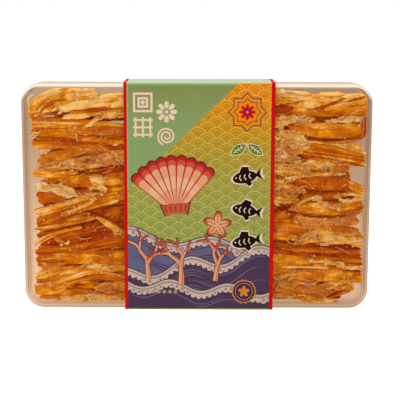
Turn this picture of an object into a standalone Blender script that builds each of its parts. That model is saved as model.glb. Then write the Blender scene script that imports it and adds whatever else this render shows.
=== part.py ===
"""A shut clear plastic box full of torn dried squid strips, with a card sleeve round its middle.

Units are metres and +Z is up. The box stands on one long side, its lid looks along -Y, and the
origin is at the middle of its footprint, on the surface that it stands on.
"""

import math
import random

import bmesh
import bpy

# Card sleeve, outside sizes
SLEEVE_WIDTH = 0.074
SLEEVE_HEIGHT = 0.114
SLEEVE_DEPTH = 0.026
SLEEVE_SHIFT = 0.0013  # the sleeve sits a little right of the box's middle
CARD = 0.00045
CARD_CREASE = 0.0008  # outer radius of a folded edge

# Clear box, outside sizes
BOX_WIDTH = 0.172
GAP = 0.0003  # between pieces that touch
BOX_HEIGHT = SLEEVE_HEIGHT - 2 * (CARD + GAP)
BOX_DEPTH = SLEEVE_DEPTH - 2 * (CARD + GAP)
BOX_MIDDLE = SLEEVE_HEIGHT / 2
CORNER = 0.0095
WALL = 0.0010
EDGE = 0.0018  # rounding round the front and back faces
EDGE_STEPS = 3
CORNER_STEPS = 6
LID_SKIRT = 0.0085  # depth of the lid from its face to its lip
NECK = 0.0058  # the part of the tray's wall that goes into the lid
DRAFT = 0.0006  # how much narrower the tray is at its back, each side

# Heap of squid strips
HEAP_CLEAR = 0.0004  # gap between the strips and the box
FRONT_LAYER = -0.0068  # depth of the strips that lie behind the lid
BACK_LAYER = 0.0068
BACK_STRIPS = 10
STRIP_SIDES = 10
STRIP_CUTS = 15
CORE_HALF = (0.073, 0.0056, 0.0485)
SEED = 11

# The strips behind the lid, from the top down. Each has the place of its left end, its heights
# where it goes under the sleeve and comes out again, the place of its right end, and how wide it
# is to the left and right of the sleeve. All are in millimetres.
FRONT_STRIPS = (
    dict(left=(-82.0, 99.0), under=(102.2, 102.2), right=(82.6, 103.0), wide=(12.5, 11.5)),
    dict(left=(-82.8, 92.6), under=(93.4, 93.8), right=(82.4, 92.4), wide=(7.5, 12.5)),
    dict(left=(-82.6, 85.0), under=(84.4, 84.8), right=(82.4, 77.0), wide=(8.5, 9.5)),
    dict(left=(-78.7, 74.0), under=(75.1, 75.4), right=(74.6, 71.5), wide=(10.5, 10.0)),
    dict(left=(-78.4, 62.4), under=(65.5, 66.3), right=(74.3, 64.4), wide=(9.0, 10.0)),
    dict(left=(-81.2, 52.8), under=(57.0, 58.3), right=(82.0, 56.0), wide=(10.5, 9.5)),
    dict(left=(-80.8, 44.7), under=(49.9, 51.0), right=(82.6, 48.3), wide=(7.0, 9.0)),
    dict(left=(-83.2, 36.0), under=(43.0, 42.4), right=(82.4, 38.0), wide=(7.0, 10.5)),
    dict(left=(-80.6, 30.0), under=(34.4, 33.4), right=(82.4, 29.3), wide=(8.5, 8.0)),
    dict(left=(-79.8, 22.8), under=(25.6, 25.6), right=(82.2, 21.4), wide=(8.5, 9.0)),
    dict(left=(-80.9, 15.7), under=(18.6, 19.0), right=(82.2, 14.6), wide=(7.0, 7.5)),
    dict(left=(-82.8, 9.8), under=(12.4, 12.2), right=(79.0, 9.8), wide=(6.5, 8.5)),
    dict(left=(-81.0, 5.9), under=(6.2, 6.2), right=(74.6, 5.6), wide=(6.0, 6.0)),
)


def new_material(name, colour, roughness, metallic=0.0, alpha=1.0):
    material = bpy.data.materials.new(name)
    material.use_nodes = True
    shader = material.node_tree.nodes["Principled BSDF"]
    shader.inputs["Base Color"].default_value = (*colour, 1.0)
    shader.inputs["Roughness"].default_value = roughness
    shader.inputs["Metallic"].default_value = metallic
    shader.inputs["Alpha"].default_value = alpha
    return material


def new_object(name, bm, material):
    """A node from a closed mesh, with its faces turned outwards and its rounded parts smooth."""
    bmesh.ops.recalc_face_normals(bm, faces=bm.faces)
    if bm.calc_volume(signed=True) < 0:
        bmesh.ops.reverse_faces(bm, faces=bm.faces)
    mesh = bpy.data.meshes.new(name)
    bm.to_mesh(mesh)
    bm.free()
    mesh.shade_smooth()
    mesh.set_sharp_from_angle(angle=math.radians(35))
    mesh.materials.append(material)
    obj = bpy.data.objects.new(name, mesh)
    bpy.context.scene.collection.objects.link(obj)
    return obj


def rounded_rectangle(half_a, half_b, radius, steps):
    """Points round a rectangle with round corners, anticlockwise."""
    points = []
    for corner, (sign_a, sign_b) in enumerate(((1, 1), (-1, 1), (-1, -1), (1, -1))):
        for step in range(steps + 1):
            angle = math.radians(90 * (corner + step / steps))
            points.append(
                (
                    sign_a * (half_a - radius) + radius * math.cos(angle),
                    sign_b * (half_b - radius) + radius * math.sin(angle),
                )
            )
    return points


def loft(rings):
    """A skin drawn from one ring of points to the next, and the edges of its first and last."""
    bm = bmesh.new()
    place = bm.verts.layers.int.new("place_in_ring")
    verts = [bm.verts.new(point) for point in rings[0]]
    for number, vert in enumerate(verts):
        vert[place] = number
    first = [bm.edges.new(pair) for pair in zip(verts, verts[1:] + verts[:1])]
    last = first
    for ring in rings[1:]:
        made = bmesh.ops.extrude_edge_only(bm, edges=last)["geom"]
        drawn = {item for item in made if isinstance(item, bmesh.types.BMVert)}
        for vert in drawn:
            vert.co = ring[vert[place]]
        last = [e for e in made if isinstance(e, bmesh.types.BMEdge) and drawn.issuperset(e.verts)]
    return bm, first, last


def box_ring(inset, depth):
    """The box's outline, drawn in by inset, at one depth."""
    outline = rounded_rectangle(
        BOX_WIDTH / 2 - inset,
        BOX_HEIGHT / 2 - inset,
        max(CORNER - inset, WALL),
        CORNER_STEPS,
    )
    return [(a, depth, BOX_MIDDLE + b) for a, b in outline]


def shell(name, steps, material):
    """A thin tray or lid. Steps give (inset, depth) from the middle of its outer face, out over
    the rim, and in to the middle of its inner face."""
    bm, first, last = loft([box_ring(inset, depth) for inset, depth in steps])
    for ring in (first, last):
        bmesh.ops.contextual_create(bm, geom=ring)
    return new_object(name, bm, material)


def rounding(inset, face, direction, radius, steps=EDGE_STEPS):
    """(inset, depth) steps of a rounded edge between a face and the wall that leaves it."""
    turns = [math.radians(90 * step / steps) for step in range(steps + 1)]
    return [
        (
            inset + radius * (1 - math.sin(turn)),
            face + direction * radius * (1 - math.cos(turn)),
        )
        for turn in turns
    ]


def build_tray(material):
    back = BOX_DEPTH / 2
    ledge = -BOX_DEPTH / 2 + LID_SKIRT + GAP
    neck_top = ledge - NECK
    neck_inset = WALL + GAP
    outside = rounding(DRAFT, back, -1, EDGE)
    inside = rounding(DRAFT + WALL, back - WALL, -1, EDGE - WALL + GAP, steps=2)
    steps = outside + [
        (0.0, ledge),
        (neck_inset, ledge),
        (neck_inset, neck_top),
        (neck_inset + WALL, neck_top),
        (neck_inset + WALL, ledge + WALL / 2),
        (WALL, ledge + WALL),
    ]
    return shell("box_tray", steps + inside[::-1], material)


def build_lid(material):
    front = -BOX_DEPTH / 2
    lip = front + LID_SKIRT
    outside = rounding(0.0, front, 1, EDGE)
    inside = rounding(WALL, front + WALL, 1, EDGE - WALL + GAP, steps=2)
    steps = outside + [(0.0, lip), (WALL, lip)] + inside[::-1]
    return shell("box_lid", steps, material)


def sleeve_outline(inset):
    """Points round the card in (depth, height)."""
    outline = rounded_rectangle(
        SLEEVE_DEPTH / 2 - inset,
        SLEEVE_HEIGHT / 2 - inset,
        CARD_CREASE - inset,
        EDGE_STEPS,
    )
    return [(depth, SLEEVE_HEIGHT / 2 + height) for depth, height in outline]


def build_sleeve(material):
    left = SLEEVE_SHIFT - SLEEVE_WIDTH / 2
    right = SLEEVE_SHIFT + SLEEVE_WIDTH / 2
    corners = ((left, 0.0), (right, 0.0), (right, CARD), (left, CARD), (left, 0.0))
    bm, _, _ = loft([[(side, *p) for p in sleeve_outline(inset)] for side, inset in corners])
    bmesh.ops.remove_doubles(bm, verts=bm.verts, dist=0.00001)
    return new_object("sleeve", bm, material)


def blend(a, b, share):
    """From a to b, flat at both ends."""
    share = min(max(share, 0.0), 1.0)
    return a + (b - a) * share * share * (3 - 2 * share)


def along(stations, x):
    """The value at x of a curve through (x, value) stations."""
    for (x0, v0), (x1, v1) in zip(stations, stations[1:]):
        if x <= x1:
            return blend(v0, v1, (x - x0) / (x1 - x0))
    return stations[-1][1]


def hold_inside(x, z):
    """The nearest place to (x, z) that is clear of the box's side walls."""
    inset = 2 * WALL + GAP + HEAP_CLEAR
    radius = CORNER - inset
    reach_x = BOX_WIDTH / 2 - CORNER
    reach_z = BOX_HEIGHT / 2 - CORNER
    near_x = min(max(x, -reach_x), reach_x)
    near_z = BOX_MIDDLE + min(max(z - BOX_MIDDLE, -reach_z), reach_z)
    beyond = math.hypot(x - near_x, z - near_z)
    if beyond <= radius:
        return x, z
    share = radius / beyond
    return near_x + (x - near_x) * share, near_z + (z - near_z) * share


def add_strip(name, spec, layer, draw, collection):
    """One torn strip: a flat, ribbed bundle of fibres that runs the length of the box."""
    millimetre = 0.001
    x_left, z_left = (v * millimetre for v in spec["left"])
    x_right, z_right = (v * millimetre for v in spec["right"])
    wide_left, wide_right = (v * millimetre for v in spec["wide"])
    under = SLEEVE_WIDTH / 2
    heights = [
        (x_left, z_left),
        (-under, spec["under"][0] * millimetre),
        (under, spec["under"][1] * millimetre),
        (x_right, z_right),
    ]
    widths = [(x_left, wide_left), (-under, wide_left), (under, wide_right), (x_right, wide_right)]
    thick = draw.uniform(0.0062, 0.0076)
    lean = draw.uniform(-0.0008, 0.0008)
    waves = [(draw.uniform(0.018, 0.040), draw.uniform(0, math.tau)) for _ in range(3)]
    ribs = [(draw.choice((2, 3, 4)), draw.uniform(0, math.tau)) for _ in range(2)]
    torn = [draw.uniform(0.1, 0.4) for _ in range(2)]
    torn_side = [draw.choice((-1, 1)) for _ in range(2)]
    reach = BOX_DEPTH / 2 - WALL - HEAP_CLEAR

    bm = bmesh.new()
    bmesh.ops.create_cone(
        bm, cap_ends=True, segments=STRIP_SIDES, radius1=1.0, radius2=1.0, depth=1.0
    )
    sides = [e for e in bm.edges if abs(e.verts[0].co.z - e.verts[1].co.z) > 0.5]
    bmesh.ops.subdivide_edges(bm, edges=sides, cuts=STRIP_CUTS, use_grid_fill=True)
    for vert in bm.verts:
        share = vert.co.z + 0.5
        angle = math.atan2(vert.co.y, vert.co.x)
        x = x_left + (x_right - x_left) * share
        to_end = min(share, 1 - share)
        taper = blend(0.74, 1.0, to_end / 0.06)
        swell = 1 + 0.10 * math.sin(x / waves[0][0] + waves[0][1])
        rib = 1 + 0.09 * sum(math.cos(n * angle + turn + 25 * x) for n, turn in ribs)
        half_wide = along(widths, x) / 2 * taper * swell * rib
        half_thick = thick / 2 * taper * rib
        bend = 0.0007 * math.sin(x / waves[1][0] + waves[1][1])
        sway = 0.0006 * math.sin(x / waves[2][0] + waves[2][1])
        end = int(share > 0.5)
        torn_back = torn[end] * half_wide * (1 + torn_side[end] * math.cos(angle))
        torn_back *= blend(1.0, 0.0, to_end / 0.05) * (1 - 2 * end)
        depth = layer + lean + bend + half_thick * math.sin(angle)
        height = along(heights, x) + sway + half_wide * math.cos(angle)
        x, height = hold_inside(x + torn_back, height)
        vert.co = (x, min(max(depth, -reach), reach), height)
    bmesh.ops.recalc_face_normals(bm, faces=bm.faces)
    mesh = bpy.data.meshes.new(name)
    bm.to_mesh(mesh)
    bm.free()
    collection.objects.link(bpy.data.objects.new(name, mesh))


def back_specs(draw):
    """The strips behind the tray's floor, evenly stacked and unevenly long, like the front ones."""
    specs = []
    pitch = 98.5 / (BACK_STRIPS - 1)
    for number in range(BACK_STRIPS):
        height = 6.5 + pitch * number
        sag = draw.uniform(-1.2, 1.2)
        specs.append(
            dict(
                left=(-draw.uniform(76.0, 82.0), height + draw.uniform(-1.0, 1.0)),
                under=(height + sag, height + sag),
                right=(draw.uniform(75.0, 82.0), height + draw.uniform(-1.0, 1.0)),
                wide=(pitch + draw.uniform(0.0, 2.5), pitch + draw.uniform(0.0, 2.5)),
            )
        )
    return specs


def add_core(name):
    """The packed middle of the heap, which the strips lie on."""
    bm = bmesh.new()
    bmesh.ops.create_cube(bm, size=2.0)
    bmesh.ops.subdivide_edges(bm, edges=bm.edges, cuts=3, use_grid_fill=True)
    for vert in bm.verts:
        x, y, z = vert.co
        pinch = 1 - 0.10 * (x * x + z * z) / 2
        vert.co = (
            CORE_HALF[0] * x * (1 - 0.04 * z * z),
            CORE_HALF[1] * y * pinch,
            BOX_MIDDLE - 0.0015 + CORE_HALF[2] * z,
        )
    mesh = bpy.data.meshes.new(name)
    bm.to_mesh(mesh)
    bm.free()
    core = bpy.data.objects.new(name, mesh)
    bpy.context.scene.collection.objects.link(core)
    return core


def keep_outer_skin(bm):
    """Drops the walls of hollows that fusing has sealed, and any loose scrap."""
    left = set(bm.faces)
    skins = []
    while left:
        edge_of_skin = [left.pop()]
        skin = list(edge_of_skin)
        while edge_of_skin:
            face = edge_of_skin.pop()
            for edge in face.edges:
                for other in edge.link_faces:
                    if other in left:
                        left.remove(other)
                        edge_of_skin.append(other)
                        skin.append(other)
        skins.append(skin)
    outer = max(skins, key=lambda skin: sum(face.calc_area() for face in skin))
    inner = [face for skin in skins if skin is not outer for face in skin]
    bmesh.ops.delete(bm, geom=inner, context="FACES")


def build_heap(material):
    draw = random.Random(SEED)
    strips = bpy.data.collections.new("strips")
    bpy.context.scene.collection.children.link(strips)
    for number, spec in enumerate(FRONT_STRIPS):
        add_strip(f"front_{number}", spec, FRONT_LAYER, draw, strips)
    for number, spec in enumerate(back_specs(draw)):
        add_strip(f"back_{number}", spec, BACK_LAYER, draw, strips)

    core = add_core("core")
    fuse = core.modifiers.new("fuse", "BOOLEAN")
    fuse.operation = "UNION"
    fuse.operand_type = "COLLECTION"
    fuse.collection = strips
    fuse.solver = "EXACT"
    bpy.context.view_layer.update()
    fused = core.evaluated_get(bpy.context.evaluated_depsgraph_get())
    bm = bmesh.new()
    bm.from_mesh(fused.to_mesh())
    fused.to_mesh_clear()
    for helper in [*strips.objects, core]:
        bpy.data.objects.remove(helper)
    bpy.data.collections.remove(strips)

    keep_outer_skin(bm)
    return new_object("squid_strips", bm, material)


def build():
    for obj in list(bpy.data.objects):
        bpy.data.objects.remove(obj)
    clear = new_material("clear_plastic", (0.90, 0.86, 0.80), 0.08, alpha=0.25)
    card = new_material("printed_card", (0.36, 0.44, 0.16), 0.45)
    squid = new_material("dried_squid", (0.66, 0.30, 0.05), 0.42)
    build_tray(clear)
    build_lid(clear)
    build_sleeve(card)
    build_heap(squid)


build()
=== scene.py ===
"""Looks for a clear box of torn dried squid strips with a printed card sleeve round its middle."""

import math
import random
from collections import namedtuple

import bmesh
import bpy
from mathutils import Matrix, Vector, noise


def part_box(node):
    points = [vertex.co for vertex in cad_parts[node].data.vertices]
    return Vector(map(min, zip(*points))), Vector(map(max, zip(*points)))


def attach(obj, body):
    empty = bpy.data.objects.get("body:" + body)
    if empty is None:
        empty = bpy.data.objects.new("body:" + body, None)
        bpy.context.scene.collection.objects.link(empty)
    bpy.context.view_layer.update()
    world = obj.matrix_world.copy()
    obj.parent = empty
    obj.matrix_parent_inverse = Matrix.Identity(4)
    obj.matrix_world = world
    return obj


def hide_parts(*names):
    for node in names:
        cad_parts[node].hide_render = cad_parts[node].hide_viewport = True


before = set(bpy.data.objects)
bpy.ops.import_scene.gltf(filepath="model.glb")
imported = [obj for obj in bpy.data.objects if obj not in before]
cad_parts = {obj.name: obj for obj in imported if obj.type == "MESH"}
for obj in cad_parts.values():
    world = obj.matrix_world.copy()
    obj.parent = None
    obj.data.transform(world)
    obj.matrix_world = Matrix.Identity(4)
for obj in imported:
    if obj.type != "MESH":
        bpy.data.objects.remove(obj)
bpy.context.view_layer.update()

MM = 0.001
SLEEVE_LOW, SLEEVE_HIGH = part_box("sleeve")
LID_LOW, LID_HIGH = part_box("box_lid")
TRAY_LOW, TRAY_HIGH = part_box("box_tray")
SLEEVE_X = (SLEEVE_LOW.x + SLEEVE_HIGH.x) / 2
SLEEVE_HALF = (SLEEVE_HIGH.x - SLEEVE_LOW.x) / 2
MIDDLE_Z = (SLEEVE_LOW.z + SLEEVE_HIGH.z) / 2

# Clear box, as in the solids
BOX_HALF_X = LID_HIGH.x
BOX_HALF_Z = (LID_HIGH.z - LID_LOW.z) / 2
CORNER = 9.5 * MM
WALL = 1.0 * MM
EDGE = 1.8 * MM
DRAFT = 0.6 * MM
GAP = 0.3 * MM
CORNER_STEPS = 14
EDGE_STEPS = 7

# The plastic's haze, its dust (paler on the round edge as a painted highlight), the shade under it,
# the light that passes it, and where the dust thins out towards its back
HAZE = (0.84, 0.63, 0.46)
ROUND_DUST_HIGHLIGHT = (0.72, 0.61, 0.51)
FLAT_DUST = (0.51, 0.44, 0.37)
SHADED_EDGE = (0.20, 0.11, 0.06)
CLEAR_LIGHT = (0.98, 0.97, 0.95)
BARE_EDGE = (TRAY_HIGH.y - 4.5 * MM, TRAY_HIGH.y - 2.7 * MM)

# Camera and light
LENS = 105.1
SENSOR_WIDTH = 36.0
CAMERA_DISTANCE = 576.7 * MM
CAMERA_ELEVATION = math.radians(9.884)
CAMERA_ROLL = math.radians(0.173)
AIM_RIGHT = 0.41 * MM
AIM_DOWN = 0.95 * MM
WORLD_LIGHT = 0.36
BACKDROP = (0.64, 0.48, 0.35)
WHITE = (1.0, 1.0, 1.0)
FLOOR_HALF = 12.0
FLOOR_GREY = 0.35
FLOOR_MIRRORED = (0.39, 0.29, 0.21)
FLOOR_GLOW = (1.25, 0.90)
PAST_PLASTIC = (0.38, 0.255, 0.165)
NEAR_GLOW = (1.5, 0.94)
# Each lamp: its place, size, power in watts and colour
LAMPS = {
    "key": ((-0.30, -0.50, 0.60), (0.50, 0.50), 2.15, (1.0, 0.98, 0.95)),
    "top": ((0.0, 0.03, 0.70), (0.60, 0.20), 4.6, (1.0, 0.99, 0.97)),
    "fill": ((0.40, -0.60, 0.25), (0.50, 0.50), 1.2, (1.0, 1.0, 1.0)),
    "rim": ((0.0, 0.55, 0.23), (0.90, 0.20), 1.0, (1.0, 0.98, 0.95)),
}


# Node helpers


class Wire:
    """A value in a node tree, whose sums and products are Math nodes."""

    def __init__(self, tree, socket):
        self.tree = tree
        self.socket = socket

    def maths(self, operation, *others):
        node = self.tree.nodes.new("ShaderNodeMath")
        node.operation = operation
        for socket, value in zip(node.inputs, (self, *others)):
            set_value(socket, value)
        return Wire(self.tree, node.outputs[0])

    def __add__(self, other):
        return self.maths("ADD", other)

    def __sub__(self, other):
        return self.maths("SUBTRACT", other)

    def __rsub__(self, other):
        return self.maths("MULTIPLY_ADD", -1.0, other)

    def __mul__(self, other):
        return self.maths("MULTIPLY", other)

    def over(self, limit):
        return self.maths("GREATER_THAN", limit)

    def under(self, limit):
        return self.maths("LESS_THAN", limit)

    def larger(self, other):
        return self.maths("MAXIMUM", other)

    def size(self):
        return self.maths("ABSOLUTE")

    def spread(self, low, high, to_low=0.0, to_high=1.0):
        """The value spread smoothly from one range to another, and held inside it."""
        node = self.tree.nodes.new("ShaderNodeMapRange")
        node.interpolation_type = "SMOOTHSTEP"
        names = ("Value", "From Min", "From Max", "To Min", "To Max")
        for name, value in zip(names, (self, low, high, to_low, to_high)):
            set_value(node.inputs[name], value)
        return Wire(self.tree, node.outputs["Result"])

    def ramp(self, stops):
        """The colour at the value between the given (place, colour) stops."""
        node = self.tree.nodes.new("ShaderNodeValToRGB")
        elements = node.color_ramp.elements
        for element, (place, colour) in zip(elements, (stops[0], stops[-1])):
            element.position = place
            element.color = (*colour, 1.0)
        for place, colour in stops[1:-1]:
            elements.new(place).color = (*colour, 1.0)
        set_value(node.inputs["Fac"], self)
        return Wire(self.tree, node.outputs["Color"])

    def noise(self, scale, detail=3.0, roughness=0.55, stretch=(1, 1, 1)):
        """Noise over the vector, which is first stretched."""
        mapping = self.tree.nodes.new("ShaderNodeMapping")
        node = self.tree.nodes.new("ShaderNodeTexNoise")
        set_inputs(mapping, {"Vector": self, "Scale": stretch})
        stretched = Wire(self.tree, mapping.outputs["Vector"])
        values = {"Vector": stretched, "Scale": scale, "Detail": detail, "Roughness": roughness}
        set_inputs(node, values)
        return Wire(self.tree, node.outputs["Fac"])

    def parts(self):
        """The vector's three parts."""
        node = self.tree.nodes.new("ShaderNodeSeparateXYZ")
        set_value(node.inputs[0], self)
        return [Wire(self.tree, part) for part in node.outputs]

    def bump(self, distance, strength):
        node = self.tree.nodes.new("ShaderNodeBump")
        set_inputs(node, {"Distance": distance, "Strength": strength, "Height": self})
        return Wire(self.tree, node.outputs["Normal"])


def set_value(socket, value):
    """Links a value to a socket, or sets the socket to a number or colour."""
    if isinstance(value, Wire):
        value.tree.links.new(value.socket, socket)
    elif socket.type == "RGBA":
        red, green, blue = value if isinstance(value, (tuple, list)) else (value,) * 3
        socket.default_value = (red, green, blue, 1.0)
    else:
        socket.default_value = value


def set_inputs(node, values):
    for name, value in values.items():
        set_value(node.inputs[name], value)


def outputs_of(tree, kind):
    """A new node's outputs by name."""
    return {socket.name: Wire(tree, socket) for socket in tree.nodes.new(kind).outputs}


def attribute(tree, name, output):
    node = tree.nodes.new("ShaderNodeAttribute")
    node.attribute_name = name
    return Wire(tree, node.outputs[output])


def object_place(tree):
    return outputs_of(tree, "ShaderNodeTexCoord")["Object"]


def face_normal(tree):
    return outputs_of(tree, "ShaderNodeNewGeometry")["Normal"]


def mix(tree, share, first, second, blend_type="MIX"):
    node = tree.nodes.new("ShaderNodeMix")
    node.data_type = "RGBA"
    node.blend_type = blend_type
    set_inputs(node, {"Factor": share, "A": first, "B": second})
    return Wire(tree, node.outputs["Result"])


def layered(tree, colour, layers):
    """A colour under (share, colour) layers, from the lowest up."""
    for share, laid in layers:
        colour = mix(tree, share, colour, laid)
    return colour


def new_material(name):
    """A material with its node tree and its shader."""
    material = bpy.data.materials.new(name)
    material.use_nodes = True
    return material, material.node_tree, material.node_tree.nodes["Principled BSDF"]


def srgb(red, green, blue):
    """A screen colour from 0 to 255 as the linear colour that the shaders take."""
    linear = []
    for part in (red, green, blue):
        part /= 255
        linear.append(part / 12.92 if part <= 0.04045 else ((part + 0.055) / 1.055) ** 2.4)
    return tuple(linear)


# Materials

# What the squid's vertices carry beside their place along the fibres
MARKS = ("relief_shade", "tone", "pale", "grain")

# The squid's flesh from its creases up to its crests, darker in the creases as painted shade,
# what is torn, and its powdery bloom
FLESH_COLOURS = (
    (0.00, srgb(104, 18, 0)),
    (0.20, srgb(138, 42, 0)),
    (0.42, srgb(162, 72, 0)),
    (0.64, srgb(181, 99, 0)),
    (0.86, srgb(210, 139, 6)),
    (1.00, srgb(217, 174, 100)),
)
TORN_COLOUR = srgb(216, 168, 94)
BLOOM_COLOUR = srgb(228, 210, 182)


def squid_material():
    """Torn dried squid: amber creases as painted shade, golden on its fibres, cream where torn.

    The faint glow stands for the light that passes through thin leaves into the heap.
    """
    material, tree, shader = new_material("dried_squid")
    fibre = attribute(tree, "fibre", "Vector")
    relief_shade, tone, pale, grain = (attribute(tree, name, "Fac") for name in MARKS)
    place = object_place(tree)
    streak = fibre.noise(1.0, 4.0, stretch=(0.05, 1.1, 1.0))
    fine = fibre.noise(1.0, 3.0, stretch=(0.16, 3.4, 1.0))
    mottle = place.noise(130.0, 4.0)
    speckle = place.noise(900.0, 3.0, 0.65)
    dust = place.noise(1500.0, 2.0, 0.7)
    patch = place.noise(210.0, 3.0, 0.6)

    ribbing = (streak + fine * 0.55 - 0.78) * grain
    # The relief mark darkens the creases and lightens the crests: painted shade and highlight.
    height = relief_shade * 0.46 + (tone - 0.115) + ribbing
    height = height + (mottle - 0.5) * 0.85 + (speckle - 0.5) * 0.40
    torn = (fine * 0.55 + speckle * 0.75 + pale).spread(0.86, 1.50)
    bloom = (dust * 0.55 + patch * 0.45 + pale * 0.10).spread(0.605, 0.69, 0.0, 0.75)
    layers = ((torn * 0.82, TORN_COLOUR), (bloom, BLOOM_COLOUR))
    relief = speckle * (pale * 0.6) + ribbing
    set_inputs(
        shader,
        {
            "Base Color": layered(tree, height.ramp(FLESH_COLOURS), layers),
            "Roughness": torn.spread(0.0, 1.0, 0.30, 0.60),
            "Specular IOR Level": 0.06,
            "Subsurface Weight": 0.6,
            "Subsurface Radius": (1.0, 0.8, 0.5),
            "Subsurface Scale": 1.2 * MM,
            "Emission Color": (1.0, 0.10, 0.0),
            "Emission Strength": 0.05,
            "Normal": relief.bump(0.4 * MM, 0.6),
        },
    )
    return material


def clear_material(name, tint, haze, dust=0.0):
    """Clear plastic: a tinted pane with a haze that grows towards its edges.

    The outer faces that look up are hazier, as where light catches fine dust and scuffs, with one
    colour on the flat and a paler one on the round edge as a painted highlight. The flat is clearer
    when seen from straight above.
    Light on its way to what is inside isn't tinted.
    """
    material, tree, shader = new_material(name)
    path = outputs_of(tree, "ShaderNodeLightPath")
    lighting = path["Is Shadow Ray"].larger(path["Is Diffuse Ray"])
    pane = tree.nodes.new("ShaderNodeBsdfTransparent")
    set_value(pane.inputs["Color"], mix(tree, lighting, tint, CLEAR_LIGHT))
    facing = outputs_of(tree, "ShaderNodeLayerWeight")["Facing"]
    share = facing.maths("POWER", 3.0) * haze
    colour = HAZE
    if dust:
        _, _, up = face_normal(tree).parts()
        _, deep, high = object_place(tree).parts()
        settled = up.spread(0.08, 0.26) * high.over(MIDDLE_Z) * deep.spread(*BARE_EDGE, 1.0, 0.35)
        thinned = up.spread(0.85, 0.98) * facing.spread(0.2, 0.75, 0.65, 0.0)
        settled = settled * (1.0 - thinned)
        under = up.spread(-0.60, -0.30, 1.0, 0.0)
        share = (share * (1.0 - up.size())).larger(settled * dust).larger(under * 0.9)
        # The round edge's dust is paler than the flat's: a painted highlight.
        dusty = mix(tree, up.spread(0.5, 1.0), ROUND_DUST_HIGHLIGHT, FLAT_DUST)
        colour = layered(tree, HAZE, ((under, SHADED_EDGE), (settled, dusty)))
    set_inputs(shader, {"Base Color": colour, "Roughness": 0.18, "Specular IOR Level": 0.2})
    share = share.larger(facing.spread(0.86, 0.96, 0.0, 0.92)) * (lighting * -0.85 + 1.0)
    blend = tree.nodes.new("ShaderNodeMixShader")
    set_value(blend.inputs["Fac"], share)
    tree.links.new(pane.outputs["BSDF"], blend.inputs[1])
    tree.links.new(shader.outputs["BSDF"], blend.inputs[2])
    tree.links.new(blend.outputs["Shader"], tree.nodes["Material Output"].inputs["Surface"])
    return material


# The box


def in_scene(name, data):
    thing = bpy.data.objects.new(name, data)
    bpy.context.scene.collection.objects.link(thing)
    return thing


def mesh_of(name, bm, material):
    mesh = bpy.data.meshes.new(name)
    bm.to_mesh(mesh)
    bm.free()
    mesh.materials.append(material)
    return mesh


def new_piece(name, bm, material, replaces=None, smooth_shading=True):
    """A finished piece from a mesh, riding on the one body."""
    piece = in_scene(name, mesh_of(name, bm, material))
    if smooth_shading:
        piece.data.shade_smooth()
    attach(piece, "root")
    if replaces:
        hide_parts(replaces)
    return piece


def rounded_rectangle(half_a, half_b, radius, steps):
    """Points round a rectangle with round corners, anticlockwise."""
    points = []
    for corner, (sign_a, sign_b) in enumerate(((1, 1), (-1, 1), (-1, -1), (1, -1))):
        for step in range(steps + 1):
            angle = math.radians(90 * (corner + step / steps))
            points.append(
                (
                    sign_a * (half_a - radius) + radius * math.cos(angle),
                    sign_b * (half_b - radius) + radius * math.sin(angle),
                )
            )
    return points


def loft(rings):
    """A skin drawn from one ring of points to the next, and the edges of its first and last."""
    bm = bmesh.new()
    place = bm.verts.layers.int.new("place_in_ring")
    verts = [bm.verts.new(point) for point in rings[0]]
    for number, vert in enumerate(verts):
        vert[place] = number
    first = [bm.edges.new(pair) for pair in zip(verts, verts[1:] + verts[:1])]
    last = first
    for ring in rings[1:]:
        made = bmesh.ops.extrude_edge_only(bm, edges=last)["geom"]
        drawn = {item for item in made if isinstance(item, bmesh.types.BMVert)}
        for vert in drawn:
            vert.co = ring[vert[place]]
        last = [e for e in made if isinstance(e, bmesh.types.BMEdge) and drawn.issuperset(e.verts)]
    return bm, first, last


def box_ring(inset, depth):
    """The box's outline, drawn in by inset, at one depth."""
    outline = rounded_rectangle(
        BOX_HALF_X - inset, BOX_HALF_Z - inset, max(CORNER - inset, WALL), CORNER_STEPS
    )
    return [(a, depth, MIDDLE_Z + b) for a, b in outline]


def rounding(inset, face, direction, radius):
    """(inset, depth) steps of a rounded edge between a face and the wall that leaves it."""
    turns = [math.radians(90 * step / EDGE_STEPS) for step in range(EDGE_STEPS + 1)]
    return [
        (
            inset + radius * (1 - math.sin(turn)),
            face + direction * radius * (1 - math.cos(turn)),
        )
        for turn in turns
    ]


def shell(name, steps, plastics, node):
    """A thin tray or lid, drawn from the middle of its outer face, over its rim, and back in."""
    bm, first, last = loft([box_ring(inset, depth) for inset, depth in steps])
    for ring in (first, last):
        bmesh.ops.contextual_create(bm, geom=ring)
    bmesh.ops.recalc_face_normals(bm, faces=bm.faces)
    if bm.calc_volume(signed=True) < 0:
        bmesh.ops.reverse_faces(bm, faces=bm.faces)
    panel, wall, neck = plastics
    piece = new_piece(name, bm, panel, node)
    piece.data.materials.append(wall)
    piece.data.materials.append(neck)
    for polygon in piece.data.polygons:
        if len(polygon.vertices) == 4:
            outer = polygon.normal.dot(polygon.center - Vector((0.0, 0.0, MIDDLE_Z))) > 0
            behind = polygon.center.y > LID_HIGH.y
            if behind and abs(polygon.normal.y) > 0.3:
                polygon.material_index = 0
            else:
                polygon.material_index = 1 if behind or (outer and node == "box_lid") else 2
    piece.data.set_sharp_from_angle(angle=math.radians(40))
    return piece


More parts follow.
